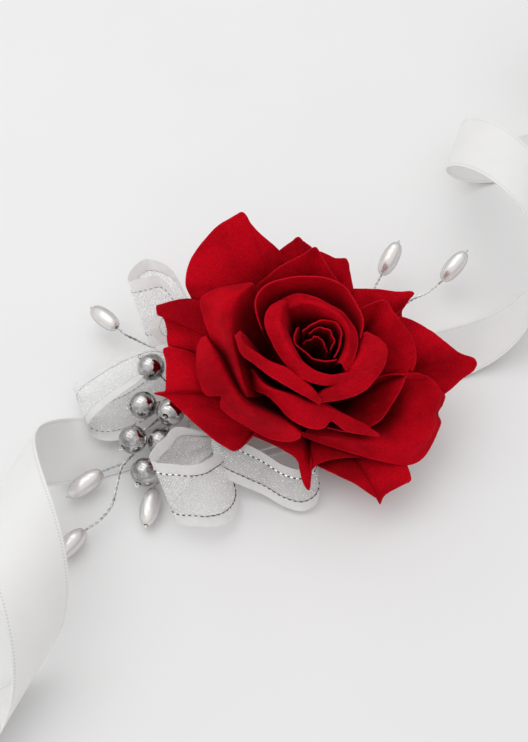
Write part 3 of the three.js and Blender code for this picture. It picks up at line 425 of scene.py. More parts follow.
FORK_BRANCHES = {
    "left_near": {"path": [(-55.6, -9.2, 6.4), (-60.3, -9.2, 5.6)], "towards": (-71.8, -13.4, 4.2)},
    "left_far": {
        "path": [(-55.1, -10.6, 6.8), (-57.6, -15.5, 6.5), (-60.4, -21.1, 6), (-64.8, -24.2, 5),
                 (-69.3, -25.5, 4.2)],
        "towards": (-78.5, -31, 4),
    },
}


# Properties


def length(label, text, value):
    """A size property in metres, given in millimetres."""
    return FloatProperty(name=label, description=text, default=value * MM, min=0, unit="LENGTH", precision=5)


def colour(label, text, value):
    """A linear colour property."""
    limits = {"size": 3, "min": 0, "max": 1}
    return FloatVectorProperty(name=label, description=text, default=value, subtype="COLOR", **limits)


class CorsageSizes(PropertyGroup):
    """Sizes of the cloth, wire, beads and pearls"""

    petal_thick: length("Petal thickness", "Thickness of a petal's cloth", 0.4)
    ribbon_width: length("Ribbon width", "Width of the satin ribbon", 19)
    ribbon_thick: length("Ribbon thickness", "Thickness of the satin ribbon", 0.3)
    picot_pitch: length("Picot pitch", "Spacing of the small loops along the ribbon's edges", 0.9)
    picot_reach: length("Picot reach", "How far each small edge loop stands out", 0.4)
    organza_thick: length("Organza thickness", "Thickness of the sheer cloth", 0.14)
    organza_edge: length("Organza edge", "Width of the satin band along each edge of the sheer ribbon", 3.6)
    thread_radius: length("Thread radius", "Radius of the silver thread beside each band", 0.19)
    bead_radius: length("Bead radius", "Radius of a silver bead", 4.2)
    pearl_radius: length("Pearl radius", "Largest radius of a pearl drop", 2.95)
    pearl_length: length("Pearl length", "Length of a pearl drop", 12.6)
    strand_radius: length("Strand radius", "Radius of one strand of a twisted stem", 0.22)
    twist_pitch: length("Twist pitch", "Length of one full turn of a twisted stem", 3.4)


class CorsageColours(PropertyGroup):
    """Colours of the cloth, metal, pearls and table"""

    petal: colour("Petal", "Petal cloth in the light", (0.555, 0.002, 0.0105))
    # Painted shade: the colour that petals take in their folds and towards their base
    petal_painted_shade: colour("Petal heart", "Petal cloth near its base", (0.05, 0.0, 0.0005))
    petal_rim: colour("Petal rim", "Cut edge of a petal", (0.70, 0.014, 0.028))
    satin: colour("Satin", "White satin", (0.82, 0.817, 0.807))
    satin_shade: colour("Satin shade", "White satin in its faint streaks", (0.76, 0.757, 0.747))
    organza: colour("Organza", "Sheer silver-white cloth", (0.97, 0.97, 0.965))
    organza_edge: colour("Organza edge", "Satin band of the sheer ribbon", (0.96, 0.95, 0.945))
    silver: colour("Silver", "Plating of the beads", (0.57, 0.56, 0.55))
    wire: colour("Wire", "Silver wire", (0.74, 0.735, 0.73))
    pearl: colour("Pearl", "Pearl coat", (0.78, 0.765, 0.755))
    felt: colour("Felt", "White felt", (0.80, 0.79, 0.77))
    leaf: colour("Leaf", "Moulded green of the calyx", (0.06, 0.13, 0.03))
    tape: colour("Tape", "Floral tape", (0.09, 0.19, 0.06))
    glue: colour("Glue", "Set glue", (0.78, 0.73, 0.60))
    table: colour("Table", "Table top", (0.87, 0.868, 0.868))


# Curves and surfaces, in millimetres


def hermite(p, tp, q, tq, t):
    """Cubic from p to q with end tangents tp and tq."""
    a = 2 * t**3 - 3 * t**2 + 1
    return a * p + (t**3 - 2 * t**2 + t) * tp + (1 - a) * q + (t**3 - t**2) * tq


def curve_through(points, sub):
    """Smooth curve through points; tangents are held short at tight corners."""
    p = np.asarray(points, float)
    tangent = np.gradient(p, axis=0)
    if len(p) > 2:
        step = np.linalg.norm(np.diff(p, axis=0), axis=1)
        room = TANGENT_REACH * np.minimum(step[:-1], step[1:])
        size = np.linalg.norm(tangent[1:-1], axis=1)
        tangent[1:-1] *= np.minimum(1, room / np.maximum(size, 1e-9))[:, None]
    t = np.linspace(0, 1, sub, endpoint=False)[:, None]
    spans = [hermite(p[i], tangent[i], p[i + 1], tangent[i + 1], t) for i in range(len(p) - 1)]
    return np.vstack([*spans, p[-1:]])


def polar(azimuth, radius, height):
    """Points from azimuths in degrees, radii and heights."""
    a = np.radians(azimuth)
    return np.stack(np.broadcast_arrays(radius * np.cos(a), radius * np.sin(a), height), axis=-1)


def full_turn(count):
    """Even azimuths of a full turn in degrees, as a row."""
    return np.linspace(0, 360, count, endpoint=False)[None, :]


def normalised(vectors):
    """Vectors brought to unit length."""
    return vectors / np.maximum(np.linalg.norm(vectors, axis=-1, keepdims=True), 1e-12)


def direction(start, end):
    """Unit vector from one point to another."""
    return normalised(np.asarray(end, float) - np.asarray(start, float))


def path_lengths(path):
    """Running length at each point of a path."""
    return np.concatenate([[0], np.cumsum(np.linalg.norm(np.diff(path, axis=0), axis=1))])


def smoothstep(x, low, high):
    """0 below low, 1 above high, smooth between."""
    t = np.clip((x - low) / (high - low), 0, 1)
    return t * t * (3 - 2 * t)


def in_rose(points):
    """Points of the rose's own frame in the part's frame."""
    skew, tilt = math.radians(ROSE_SKEW), math.radians(ROSE_TILT)
    turn_z = np.array([[math.cos(skew), -math.sin(skew), 0], [math.sin(skew), math.cos(skew), 0], [0, 0, 1]])
    turn_x = np.array([[1, 0, 0], [0, math.cos(tilt), -math.sin(tilt)], [0, math.sin(tilt), math.cos(tilt)]])
    return points @ (turn_z @ turn_x).T + np.array(ROSE_BASE)


def petal_grid(petal, across, along):
    """Middle surface of a petal: rows from base to rim."""
    first = np.array(petal["rows"][0], float)
    middle = (first[:, 0].min() + first[:, 0].max()) / 2
    base = np.column_stack([
        middle + (first[:, 0] - middle) * petal["spread"],
        np.full(len(first), petal["r0"]),
        np.full(len(first), petal["z0"]),
    ])
    net = [base, *[np.array(row, float) for row in petal["rows"]]]
    lines = [curve_through(polar(q[:, 0], q[:, 1], q[:, 2]), across) for q in net]
    turns = [
        curve_through(np.column_stack([q[:, 0], np.broadcast_to(rise, len(q))]), across)
        for q, rise in zip(net, petal["rise"])
    ]
    heads = [polar(t[:, 0], np.cos(np.radians(t[:, 1])), np.sin(np.radians(t[:, 1]))) for t in turns]
    rows = []
    for i, steps in zip(range(len(lines) - 1), along):
        p, q = lines[i], lines[i + 1]
        pull = TANGENT_REACH * np.linalg.norm(q - p, axis=1)[:, None]
        last = i == len(lines) - 2
        for t in np.linspace(0, 1, steps + int(last), endpoint=last):
            rows.append(hermite(p, heads[i] * pull, q, heads[i + 1] * pull, t))
    return np.array(rows)


def grid_normals(grid):
    """Unit normals of a grid of points."""
    return normalised(np.cross(np.gradient(grid, axis=1), np.gradient(grid, axis=0)))


def arc_lengths(grid, axis):
    """Running length along an axis of a grid."""
    step = np.linalg.norm(np.diff(grid, axis=axis), axis=2)
    start = np.zeros_like(np.take(step, [0], axis=axis))
    return np.concatenate([start, np.cumsum(step, axis=axis)], axis=axis)


# Objects, from millimetres


def placed(name, data):
    """New object in the scene."""
    obj = bpy.data.objects.new(name, data)
    bpy.context.scene.collection.objects.link(obj)
    return obj


def make_object(name, points, faces, material, floats=None):
    """Mesh object from points in millimetres, with values stored on its points."""
    mesh = bpy.data.meshes.new(name)
    mesh.from_pydata((np.asarray(points, float) * MM).tolist(), [], faces)
    mesh.update()
    for key, values in (floats or {}).items():
        store = mesh.attributes.new(key, "FLOAT", "POINT")
        store.data.foreach_set("value", np.asarray(values, np.float32).ravel())
    mesh.shade_smooth()
    mesh.set_sharp_from_angle(angle=math.radians(SHARP_ANGLE))
    for m in material if isinstance(material, list) else [material]:
        mesh.materials.append(m)
    return placed(name, mesh)


def sheet_object(name, grid, thick, material, floats=None, edge_columns=0):
    """Closed thin sheet round a grid of middle points; edge columns take the second material."""
    rows, cols = grid.shape[:2]
    offset = grid_normals(grid) * np.broadcast_to(np.asarray(thick, float) / 2, (rows, cols))[..., None]
    points = np.vstack([(grid + offset).reshape(-1, 3), (grid - offset).reshape(-1, 3)])
    index = np.arange(rows * cols).reshape(rows, cols)
    back = index + rows * cols
    quads = [
        np.stack([index[:-1, :-1], index[:-1, 1:], index[1:, 1:], index[1:, :-1]], -1).reshape(-1, 4),
        np.stack([back[:-1, :-1], back[1:, :-1], back[1:, 1:], back[:-1, 1:]], -1).reshape(-1, 4),
        np.stack([back[0, :-1], back[0, 1:], index[0, 1:], index[0, :-1]], -1),
        np.stack([index[-1, :-1], index[-1, 1:], back[-1, 1:], back[-1, :-1]], -1),
        np.stack([index[:-1, 0], index[1:, 0], back[1:, 0], back[:-1, 0]], -1),
        np.stack([back[:-1, -1], back[1:, -1], index[1:, -1], index[:-1, -1]], -1),
    ]
    both = {k: np.tile(np.broadcast_to(v, (rows, cols)).ravel(), 2) for k, v in (floats or {}).items()}
    faces = np.vstack(quads)
    obj = make_object(name, points, faces.tolist(), material, both)
    if edge_columns:
        column = (faces % cols).min(axis=1)
        banded = (column < edge_columns) | (column >= cols - 1 - edge_columns)
        obj.data.polygons.foreach_set("material_index", banded.astype(np.int32))
    return obj


def tube(path, radius, sides, closed=False, turns=0.0, offset=0.0):
    """Points and faces of a round tube along a path; offset and turns wind it round the path."""
    path = np.asarray(path, float)
    n = len(path)
    ahead = np.roll(path, -1, 0) - np.roll(path, 1, 0) if closed else np.gradient(path, axis=0)
    ahead = normalised(ahead)
    side = np.cross(ahead[0], TUBE_START)
    sides_of = []
    for way in ahead:
        side = normalised(side - way * (side @ way))
        sides_of.append(side)
    first = np.array(sides_of)
    second = np.cross(ahead, first)
    wind = (2 * np.pi * turns * path_lengths(path))[:, None]
    centre = path + offset * (first * np.cos(wind) + second * np.sin(wind))
    angle = np.linspace(0, 2 * np.pi, sides, endpoint=False)[None, :, None]
    ring = first[:, None] * np.cos(angle) + second[:, None] * np.sin(angle)
    points = (centre[:, None] + ring * np.broadcast_to(radius, n)[:, None, None]).reshape(-1, 3)
    faces = []
    for i in range(n if closed else n - 1):
        a, b = i * sides, ((i + 1) % n) * sides
        faces += [(a + k, a + (k + 1) % sides, b + (k + 1) % sides, b + k) for k in range(sides)]
    if not closed:
        faces += [tuple(range(sides))[::-1], tuple((n - 1) * sides + k for k in range(sides))]
    return points, faces


def joined(parts):
    """Several (points, faces) pairs as one."""
    points, faces, count = [], [], 0
    for p, f in parts:
        points.append(p)
        faces += [tuple(i + count for i in q) for q in f]
        count += len(p)
    return np.vstack(points), faces


def aim(points, at, way):
    """Points about +Z turned to a direction and moved to a place."""
    turn = Vector((0, 0, 1)).rotation_difference(Vector(way)).to_matrix()
    return points @ np.array(turn).T + np.asarray(at, float)


def settle(obj, body, slot, *nodes):
    """Sets a piece on its body, in place of its solids; its finish slot is not used."""
    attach(obj, body)
    if nodes:
        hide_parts(*nodes)


# Shader helpers

FLOAT = "NodeSocketFloat"
COLOUR = "NodeSocketColor"
WHITE = (1.0, 1.0, 1.0, 1.0)


def put(tree, socket, value):
    """Feeds a socket from another socket, or sets its value."""
    if isinstance(value, bpy.types.NodeSocket):
        tree.links.new(value, socket)
    else:
        socket.default_value = value


def dress(tree, target, values):
    """Feeds or sets a node's inputs by name."""
    for label, value in values.items():
        put(tree, target.inputs[label], value)


def node(tree, kind, **settings):
    """New shader node with its settings."""
    n = tree.nodes.new(f"ShaderNode{kind}")
    for key, value in settings.items():
        setattr(n, key, value)
    return n


def filled(tree, n, *values):
    """A node's first output, with values in its first inputs."""
    for socket, value in zip(n.inputs, values):
        put(tree, socket, value)
    return n.outputs[0]


def calc(tree, operation, *values):
    """Math node."""
    return filled(tree, node(tree, "Math", operation=operation), *values)


def band(tree, value, low, high, bottom=0.0, top=1.0):
    """Smooth step of a value from bottom at low to top at high."""
    step = node(tree, "MapRange", interpolation_type="SMOOTHSTEP")
    return filled(tree, step, value, low, high, bottom, top)


def vector_of(tree, *values):
    """Up to three values as a vector."""
    return filled(tree, node(tree, "CombineXYZ"), *values)


def mix(tree, factor, first, second):
    """Colour mix; the node's colour sockets are its inputs 6 and 7 and its output 2."""
    n = node(tree, "Mix", data_type="RGBA")
    for index, value in zip((0, 6, 7), (factor, first, second)):
        put(tree, n.inputs[index], value)
    return n.outputs[2]


def stored(tree, name):
    """A value stored on the mesh's points."""
    return node(tree, "Attribute", attribute_name=name).outputs["Fac"]


def noise(tree, scale, detail=3.0, rough=0.55, place=None):
    """Noise over a place, or over the object's own coordinates in metres."""
    if place is None:
        place = node(tree, "TexCoord").outputs["Object"]
    n = node(tree, "TexNoise")
    dress(tree, n, {"Vector": place, "Scale": scale, "Detail": detail, "Roughness": rough})
    return n.outputs[0]


def new_group(name, inputs, output):
    """Empty shader node group with named sockets."""
    tree = bpy.data.node_groups.new(name, "ShaderNodeTree")
    for label, kind in inputs.items():
        tree.interface.new_socket(label, in_out="INPUT", socket_type=kind)
    tree.interface.new_socket(output[0], in_out="OUTPUT", socket_type=output[1])
    return tree, tree.nodes.new("NodeGroupInput"), tree.nodes.new("NodeGroupOutput")


def weave_group():
    """Crossing threads: height from the cloth's two running lengths."""
    sockets = {"Along": FLOAT, "Across": FLOAT, "Pitch": FLOAT}
    tree, given, out = new_group("Thread weave", sockets, ("Height", FLOAT))
    waves = []
    for label in ("Along", "Across"):
        phase = calc(tree, "DIVIDE", given.outputs[label], given.outputs["Pitch"])
        waves.append(calc(tree, "SINE", calc(tree, "MULTIPLY", phase, 2 * math.pi)))
    height = calc(tree, "MULTIPLY", *waves)
    put(tree, out.inputs[0], calc(tree, "MULTIPLY_ADD", height, 0.5, 0.5))
    return tree


def mottle_group():
    """Soft uneven tone: one colour drifting towards another."""
    sockets = {"Colour": COLOUR, "Shade": COLOUR, "Scale": FLOAT, "Amount": FLOAT}
    tree, given, out = new_group("Soft mottle", sockets, ("Colour", COLOUR))
    cloud = band(tree, noise(tree, given.outputs["Scale"]), *CLOUD_BAND)
    factor = calc(tree, "MULTIPLY", cloud, given.outputs["Amount"])
    put(tree, out.inputs[0], mix(tree, factor, given.outputs["Colour"], given.outputs["Shade"]))
    return tree


def fibre_group():
    """Fine nap: height of short fibres."""
    tree, given, out = new_group("Fine nap", {"Scale": FLOAT}, ("Height", FLOAT))
    put(tree, out.inputs[0], noise(tree, given.outputs["Scale"], 4.0, 0.65))
    return tree


def crease_group():
    """Long soft creases that run from a petal's base to its rim, each petal with its own."""
    tree, given, out = new_group("Cloth creases", {"Along": FLOAT, "Across": FLOAT}, ("Height", FLOAT))
    place = vector_of(
        tree,
        calc(tree, "MULTIPLY", given.outputs["Across"], 0.2),
        calc(tree, "MULTIPLY", given.outputs["Along"], 0.045),
        calc(tree, "MULTIPLY", node(tree, "ObjectInfo").outputs["Random"], 40.0),
    )
    put(tree, out.inputs[0], noise(tree, 1.0, 3.0, 0.5, place))
    return tree


GROUP_MAKERS = {
    "Thread weave": weave_group,
    "Soft mottle": mottle_group,
    "Fine nap": fibre_group,
    "Cloth creases": crease_group,
}


def effect(tree, name, **values):
    """Places a shared effect in a material with its own values."""
    n = tree.nodes.new("ShaderNodeGroup")
    n.node_tree = bpy.data.node_groups.get(name) or GROUP_MAKERS[name]()
    dress(tree, n, values)
    return n.outputs[0]


def new_material(name):
    """Material with its tree and its Principled shader."""
    material = bpy.data.materials.new(name)
    material.use_nodes = True
    return material, material.node_tree, material.node_tree.nodes["Principled BSDF"]


def relief(tree, bsdf, height, strength, distance):
    """Bump from a height, distance in millimetres."""
    n = node(tree, "Bump")
    dress(tree, n, {"Strength": strength, "Distance": distance * MM, "Height": height})
    put(tree, bsdf.inputs["Normal"], n.outputs[0])


def lit_through(bsdf, share=0.7):
    """Lets light from the far side glow through thin cloth."""
    bsdf.inputs["Subsurface Weight"].default_value = share
    bsdf.inputs["Subsurface Radius"].default_value = (1.0, 1.0, 1.0)
    bsdf.inputs["Subsurface Scale"].default_value = MM


def solid(value):
    """A colour property as a socket's four numbers."""
    return (*value, 1.0)


def dimmed(value, share):
    """A colour times a share, as a socket's four numbers."""
    return (*[c * share for c in value], 1.0)


def mottled(tree, value, share, scale, amount):
    """A colour that drifts towards a dimmer one."""
    shade = dimmed(value, share)
    return effect(tree, "Soft mottle", Colour=solid(value), Shade=shade, Scale=scale, Amount=amount)


def petal_material(colours):
    """Crimson nap cloth with painted shade in its folds and towards its base, and a paler cut rim."""
    material, tree, bsdf = new_material("petal_cloth")
    tone = mottled(tree, colours.petal, share=0.5, scale=80.0, amount=0.75)
    # Painted shade: ambient occlusion darkens the colour in folds and crevices where the cloth shades itself
    fold = node(tree, "AmbientOcclusion", samples=8)
    fold.inputs["Distance"].default_value = FOLD_SHADE_REACH * MM
    unshaded_share = calc(tree, "MULTIPLY", band(tree, stored(tree, "rise"), 0.3, 0.85, 0.02, 1.0),
                  band(tree, fold.outputs["AO"], 0.05, 0.95))
    # Painted shade: the colour falls to the deep painted shade towards each petal's base and in its folds
    tone = mix(tree, calc(tree, "POWER", unshaded_share, 0.75), solid(colours.petal_painted_shade), tone)
    lip = calc(tree, "MULTIPLY", band(tree, stored(tree, "rim"), 0.9, 0.1), 0.12)
    tone = mix(tree, lip, tone, solid(colours.petal_rim))
    nap = effect(tree, "Fine nap", Scale=2900.0)
    speckled = node(tree, "VectorMath", operation="SCALE")
    put(tree, speckled.inputs[0], tone)
    put(tree, speckled.inputs["Scale"], band(tree, nap, 0.34, 0.66, 0.73, 1.18))
    creases = effect(tree, "Cloth creases", Along=stored(tree, "along"), Across=stored(tree, "across"))
    relief(tree, bsdf, calc(tree, "MULTIPLY_ADD", nap, 0.22, creases), strength=0.9, distance=0.9)
    lit_through(bsdf, 0.4)
    dress(tree, bsdf, {
        "Base Color": speckled.outputs[0],
        "Roughness": band(tree, nap, 0.2, 0.8, 0.66, 0.9),
        "Specular IOR Level": 0.03,
        "Sheen Weight": 0.05,
        "Sheen Roughness": 0.4,
        "Sheen Tint": (1.0, 0.1, 0.12, 1.0),
    })
    return material


def satin_material(colours):
    """White satin: fine cross threads, faint streaks and a soft sheen."""
    material, tree, bsdf = new_material("ribbon_satin")
    along, across = stored(tree, "along"), stored(tree, "across")
    tone = effect(tree, "Soft mottle", Colour=solid(colours.satin), Shade=solid(colours.satin_shade),
                  Scale=45.0, Amount=0.5)
    slow = calc(tree, "MULTIPLY", across, 0.12)
    threads = effect(tree, "Thread weave", Along=along, Across=slow, Pitch=0.34)
    beside = calc(tree, "SUBTRACT", calc(tree, "ABSOLUTE", across), STITCH_LINE)
    line = band(tree, calc(tree, "ABSOLUTE", beside), 0.3, 0.12)
    beat = calc(tree, "SINE", calc(tree, "MULTIPLY", along, 2 * math.pi / STITCH_PITCH))
    stitch = calc(tree, "MULTIPLY", line, band(tree, beat, -0.3, 0.3))
    relief(tree, bsdf, calc(tree, "SUBTRACT", threads, stitch), strength=0.22, distance=0.05)
    lit_through(bsdf)
    dress(tree, bsdf, {
        "Base Color": mix(tree, calc(tree, "MULTIPLY", stitch, 0.45), tone, dimmed(colours.satin, 0.55)),
        "Roughness": band(tree, threads, 0.0, 1.0, 0.36, 0.5),
        "Specular IOR Level": 0.5,
        "Sheen Weight": 0.12,
        "Sheen Roughness": 0.35,
    })
    return material


def organza_material(colours):
    """Sheer silver-white cloth: open mesh with glitter flecks, their glint painted white into the colour."""
    material, tree, bsdf = new_material("organza_sheer")
    along, across = stored(tree, "along"), stored(tree, "across")
    weave = effect(tree, "Thread weave", Along=along, Across=across, Pitch=0.75)
    # Glitter flecks in the cloth, with their glint painted white into the colour and alpha
    fleck = node(tree, "TexVoronoi")
    place = vector_of(tree, calc(tree, "MULTIPLY", along, 2.4), calc(tree, "MULTIPLY", across, 3.4))
    dress(tree, fleck, {"Vector": place, "Scale": 1.0})
    glint = filled(tree, node(tree, "SeparateColor"), fleck.outputs["Color"])
    shown = band(tree, glint, 0.7, 0.88)
    glitter_glint = calc(tree, "MULTIPLY", band(tree, fleck.outputs["Distance"], 0.5, 0.2), shown)
    cloud = band(tree, noise(tree, 160.0), *CLOUD_BAND)
    tone = mix(tree, cloud, dimmed(colours.organza, 0.94), solid(colours.organza))
    cover = band(tree, weave, 0.25, 0.7, 0.04, 0.5)
    cover = calc(tree, "MULTIPLY_ADD", cloud, 0.06, cover)
    cover = calc(tree, "MULTIPLY_ADD", glitter_glint, 0.9, cover)
    ray = node(tree, "LightPath")
    passed = calc(tree, "MULTIPLY_ADD", ray.outputs["Is Shadow Ray"], -SHEER_GLOW, 1.0)
    relief(tree, bsdf, weave, strength=0.5, distance=0.12)
    lit_through(bsdf)
    dress(tree, bsdf, {
        "Base Color": mix(tree, glitter_glint, tone, WHITE),
        "Alpha": calc(tree, "MULTIPLY", calc(tree, "MINIMUM", cover, 1.0), passed),
        "Roughness": band(tree, glitter_glint, 0.0, 1.0, 0.5, 0.25),
    })
    return material


def organza_edge_material(colours):
    """Satin band woven into each edge of the sheer ribbon."""
    material, tree, bsdf = new_material("organza_band")
    slow = calc(tree, "MULTIPLY", stored(tree, "along"), 0.2)
    threads = effect(tree, "Thread weave", Along=slow, Across=stored(tree, "across"), Pitch=0.4)
    relief(tree, bsdf, threads, strength=0.3, distance=0.06)
    lit_through(bsdf)
    dress(tree, bsdf, {
        "Base Color": mottled(tree, colours.organza_edge, share=0.86, scale=220.0, amount=0.5),
        "Roughness": band(tree, threads, 0.0, 1.0, 0.34, 0.5),
        "Alpha": band(tree, threads, 0.0, 1.0, 0.68, 0.84),
    })
    return material


def thread_material():
    """Metal thread with painted glints and painted dark reflections by turns along its length."""
    material, tree, bsdf = new_material("silver_thread")
    turn = calc(tree, "SINE", calc(tree, "MULTIPLY", stored(tree, "along"), 2 * math.pi / THREAD_TURN))
    # Painted glint: the colour swings between near black and bright along the thread's twist
    painted_glint = band(tree, calc(tree, "MULTIPLY_ADD", noise(tree, 900.0), 1.6, turn), 0.3, 1.2)
    dress(tree, bsdf, {
        "Base Color": mix(tree, painted_glint, (0.06, 0.055, 0.055, 1.0), (0.95, 0.94, 0.93, 1.0)),
        "Roughness": band(tree, painted_glint, 0.0, 1.0, 0.5, 0.15),
        "Metallic": 0.85,
    })
    return material


def metal_material(name, tone_of, rough, smudge):
    """Plated metal with dark patches painted into its colour as painted reflections, faint smudges in its
    gloss and a fine unevenness.
    """
    material, tree, bsdf = new_material(name)
    haze = effect(tree, "Fine nap", Scale=700.0)
    relief(tree, bsdf, haze, strength=0.06, distance=0.05)
    dress(tree, bsdf, {
        # Painted reflections: dark patches in the colour stand in for the dark surroundings that the metal
        # reflects
        "Base Color": mottled(tree, tone_of, share=0.36, scale=300.0, amount=0.8),
        "Roughness": band(tree, haze, 0.3, 0.75, rough, rough + smudge),
        "Metallic": 1.0,
    })
    return material


def pearl_material(colours):
    """Pearl coat: pale and glossy, with painted shade towards the edges where it turns away from the view.
    """
    material, tree, bsdf = new_material("pearl_coat")
    warm = (colours.pearl[0] * 1.01, colours.pearl[1] * 0.98, colours.pearl[2] * 0.965, 1.0)
    tone = effect(tree, "Soft mottle", Colour=solid(colours.pearl), Shade=warm, Scale=160.0, Amount=0.9)
    # Painted shade: the colour darkens where the surface turns away from the view, standing in for reflected
    # dark surroundings
    facing = node(tree, "LayerWeight")
    facing.inputs["Blend"].default_value = 0.45
    painted_edge_shade = band(tree, facing.outputs["Facing"], 0.25, 0.95, 0.0, 0.9)
    haze = effect(tree, "Fine nap", Scale=420.0)
    dress(tree, bsdf, {
        "Base Color": mix(tree, painted_edge_shade, tone, dimmed(colours.pearl, 0.36)),
        "Roughness": band(tree, haze, 0.3, 0.75, 0.18, 0.26),
        "Metallic": 0.55,
        "Coat Weight": 1.0,
        "Coat Roughness": 0.08,
    })
    return material


def plain_material(name, tone_of, scale, nap_scale, rough, distance):
    """Matt surface with uneven tone and a fine relief, for felt, tape, leaf and glue."""
    material, tree, bsdf = new_material(name)
    nap = effect(tree, "Fine nap", Scale=nap_scale)
    relief(tree, bsdf, nap, strength=0.6, distance=distance)
    dress(tree, bsdf, {
        "Base Color": mottled(tree, tone_of, share=0.7, scale=scale, amount=0.6),
        "Roughness": band(tree, nap, 0.2, 0.8, rough - 0.1, rough + 0.08),
    })
    return material


# Pieces


def crinkled(grid, seed, depth):
    """A cloth grid with soft creases that grow towards its rim."""
    rng = np.random.default_rng(seed)
    rows, cols = grid.shape[:2]
    u = np.linspace(0, 1, cols)[None, :]
    v = np.linspace(0, 1, rows)[:, None]
    wave = np.zeros((rows, cols))
    for reach in CREASES:
        turns_u, turns_v = rng.uniform(1, 2.4) / reach, rng.uniform(-1.2, 1.2)
        wave += reach * np.sin(2 * np.pi * (turns_u * u + turns_v * v) + rng.uniform(0, 2 * np.pi))
    swell = smoothstep(v, 0.25, 0.9)
    bent = grid + grid_normals(grid) * (depth * swell * wave)[..., None]
    nibble = sum(np.sin(2 * np.pi * k * u + rng.uniform(0, 2 * np.pi)) / k**0.5 for k in NIBBLES)
    ahead = normalised(np.gradient(bent, axis=0))
    return bent + ahead * (0.5 * depth * smoothstep(v, 0.86, 1.0) * nibble)[..., None]


def rim_distance(grid):
    """Distance of each point of a sheet from its free edges."""
    along, across = arc_lengths(grid, 0), arc_lengths(grid, 1)
    to_side = np.minimum(across, across[:, -1:] - across)
    return np.minimum(along[-1:] - along, to_side)


def loft(rings, loop=False):
    """Points and faces of a surface through closed rings; loop joins the last ring to the first."""
    n, m = rings.shape[:2]
    index = np.arange(n * m).reshape(n, m)
    if loop:
        index = np.vstack([index, index[:1]])
    index = np.hstack([index, index[:, :1]])
    quads = np.stack([index[:-1, :-1], index[:-1, 1:], index[1:, 1:], index[1:, :-1]], -1).reshape(-1, 4)
    faces = [tuple(q) for q in quads.tolist()]
    if not loop:
        faces += [tuple(range(m))[::-1], tuple((n - 1) * m + k for k in range(m))]
    return rings.reshape(-1, 3), faces


def turned(profile, segments):
    """Rings about +Z of a profile of (radius, height)."""
    p = np.asarray(profile, float)
    return polar(full_turn(segments), p[:, :1], p[:, 1:])


def two_sided(azimuth, reach, height, half):
    """Rings of a thin collar: its underside inwards, then its upper side outwards."""
    under = polar(azimuth, reach, height - half)[::-1]
    return np.vstack([under, polar(azimuth, reach, height + half)])


def bored_profile(radius, half, bore, power):
    """Closed profile of a bead or pearl with a bore along its axis."""
    lip = math.acos(min(1.0, ((bore + BORE_LIP) / radius) ** (1 / power)))
    a = np.linspace(-lip, lip, PROFILE_STEPS)
    outside = np.column_stack([radius * np.cos(a) ** power, half * np.sin(a) / math.sin(lip)])
    inside = [(bore, half - BORE_INSET), (bore, BORE_INSET - half)]
    return np.vstack([outside, inside])


def evenly(path, step):
    """A path's points at even steps."""
    run = path_lengths(path)
    at = np.linspace(0, run[-1], max(3, int(run[-1] / step) + 1))
    return np.column_stack([np.interp(at, run, path[:, k]) for k in range(3)])


def twisted(path, sizes):
    """Two strands wound round each other along a path."""
    strand = sizes.strand_radius / MM
    line = evenly(np.asarray(path, float), STRAND_STEP)
    turns = MM / sizes.twist_pitch
    aside = 0.92 * strand
    return [tube(line, strand, WIRE_SIDES, turns=turns, offset=side * aside) for side in (1, -1)]


def wire_eye(at, way, radius=0.58, wire=0.24):
    """Small closed eye at the end of a wire."""
    flat = normalised(np.cross(way, (0, 0, 1)))
    a = np.linspace(0, 2 * np.pi, 20, endpoint=False)[:, None]
    ring = np.asarray(at, float) + radius * (np.cos(a) * way + np.sin(a) * flat)
    return tube(ring, wire, WIRE_SIDES, closed=True)


def tail_grid(curl, sizes):
    """Middle surface of a ribbon tail with its picot edges, and its two running lengths."""
    side, radius = curl["side"], curl["radius"]
    beta = math.radians(curl["angle"])
    half = sizes.ribbon_width / MM / 2
    from_start = BAND_HALF - curl["start"]
    run = curl["length"] - from_start
    steps = int(run / TAIL_STEP)
    share = np.linspace(0, 1, steps)[:, None]
    inner = np.linspace(-half, half, TAIL_COLUMNS)
    beat = np.sin(math.pi * share * run / (sizes.picot_pitch / MM))
    picot = sizes.picot_reach / MM * np.abs(beat)
    w = np.hstack([-half - picot, np.repeat(inner[None, :], steps, 0), half + picot])
    end = curl["length"] + w * math.tan(beta)
    d = from_start + share * (end - from_start)
    phi = (d * math.cos(beta) - w * math.sin(beta)) / radius
    lift = np.maximum(phi, 0)
    out = np.where(phi > 0, radius * np.sin(lift), radius * phi)
    axial = d * math.sin(beta) + w * math.cos(beta)
    ease = 1 - smoothstep(d, from_start, from_start + TAIL_EASE)
    z = CURL_REST + radius * (1 - np.cos(lift)) + (BAND_LEVEL - CURL_REST) * ease
    x = side * (curl["start"] + math.sin(beta) * axial + math.cos(beta) * out)
    y = RIBBON_Y + side * (math.cos(beta) * axial - math.sin(beta) * out)
    return np.stack([x, y, z], axis=-1), d, w


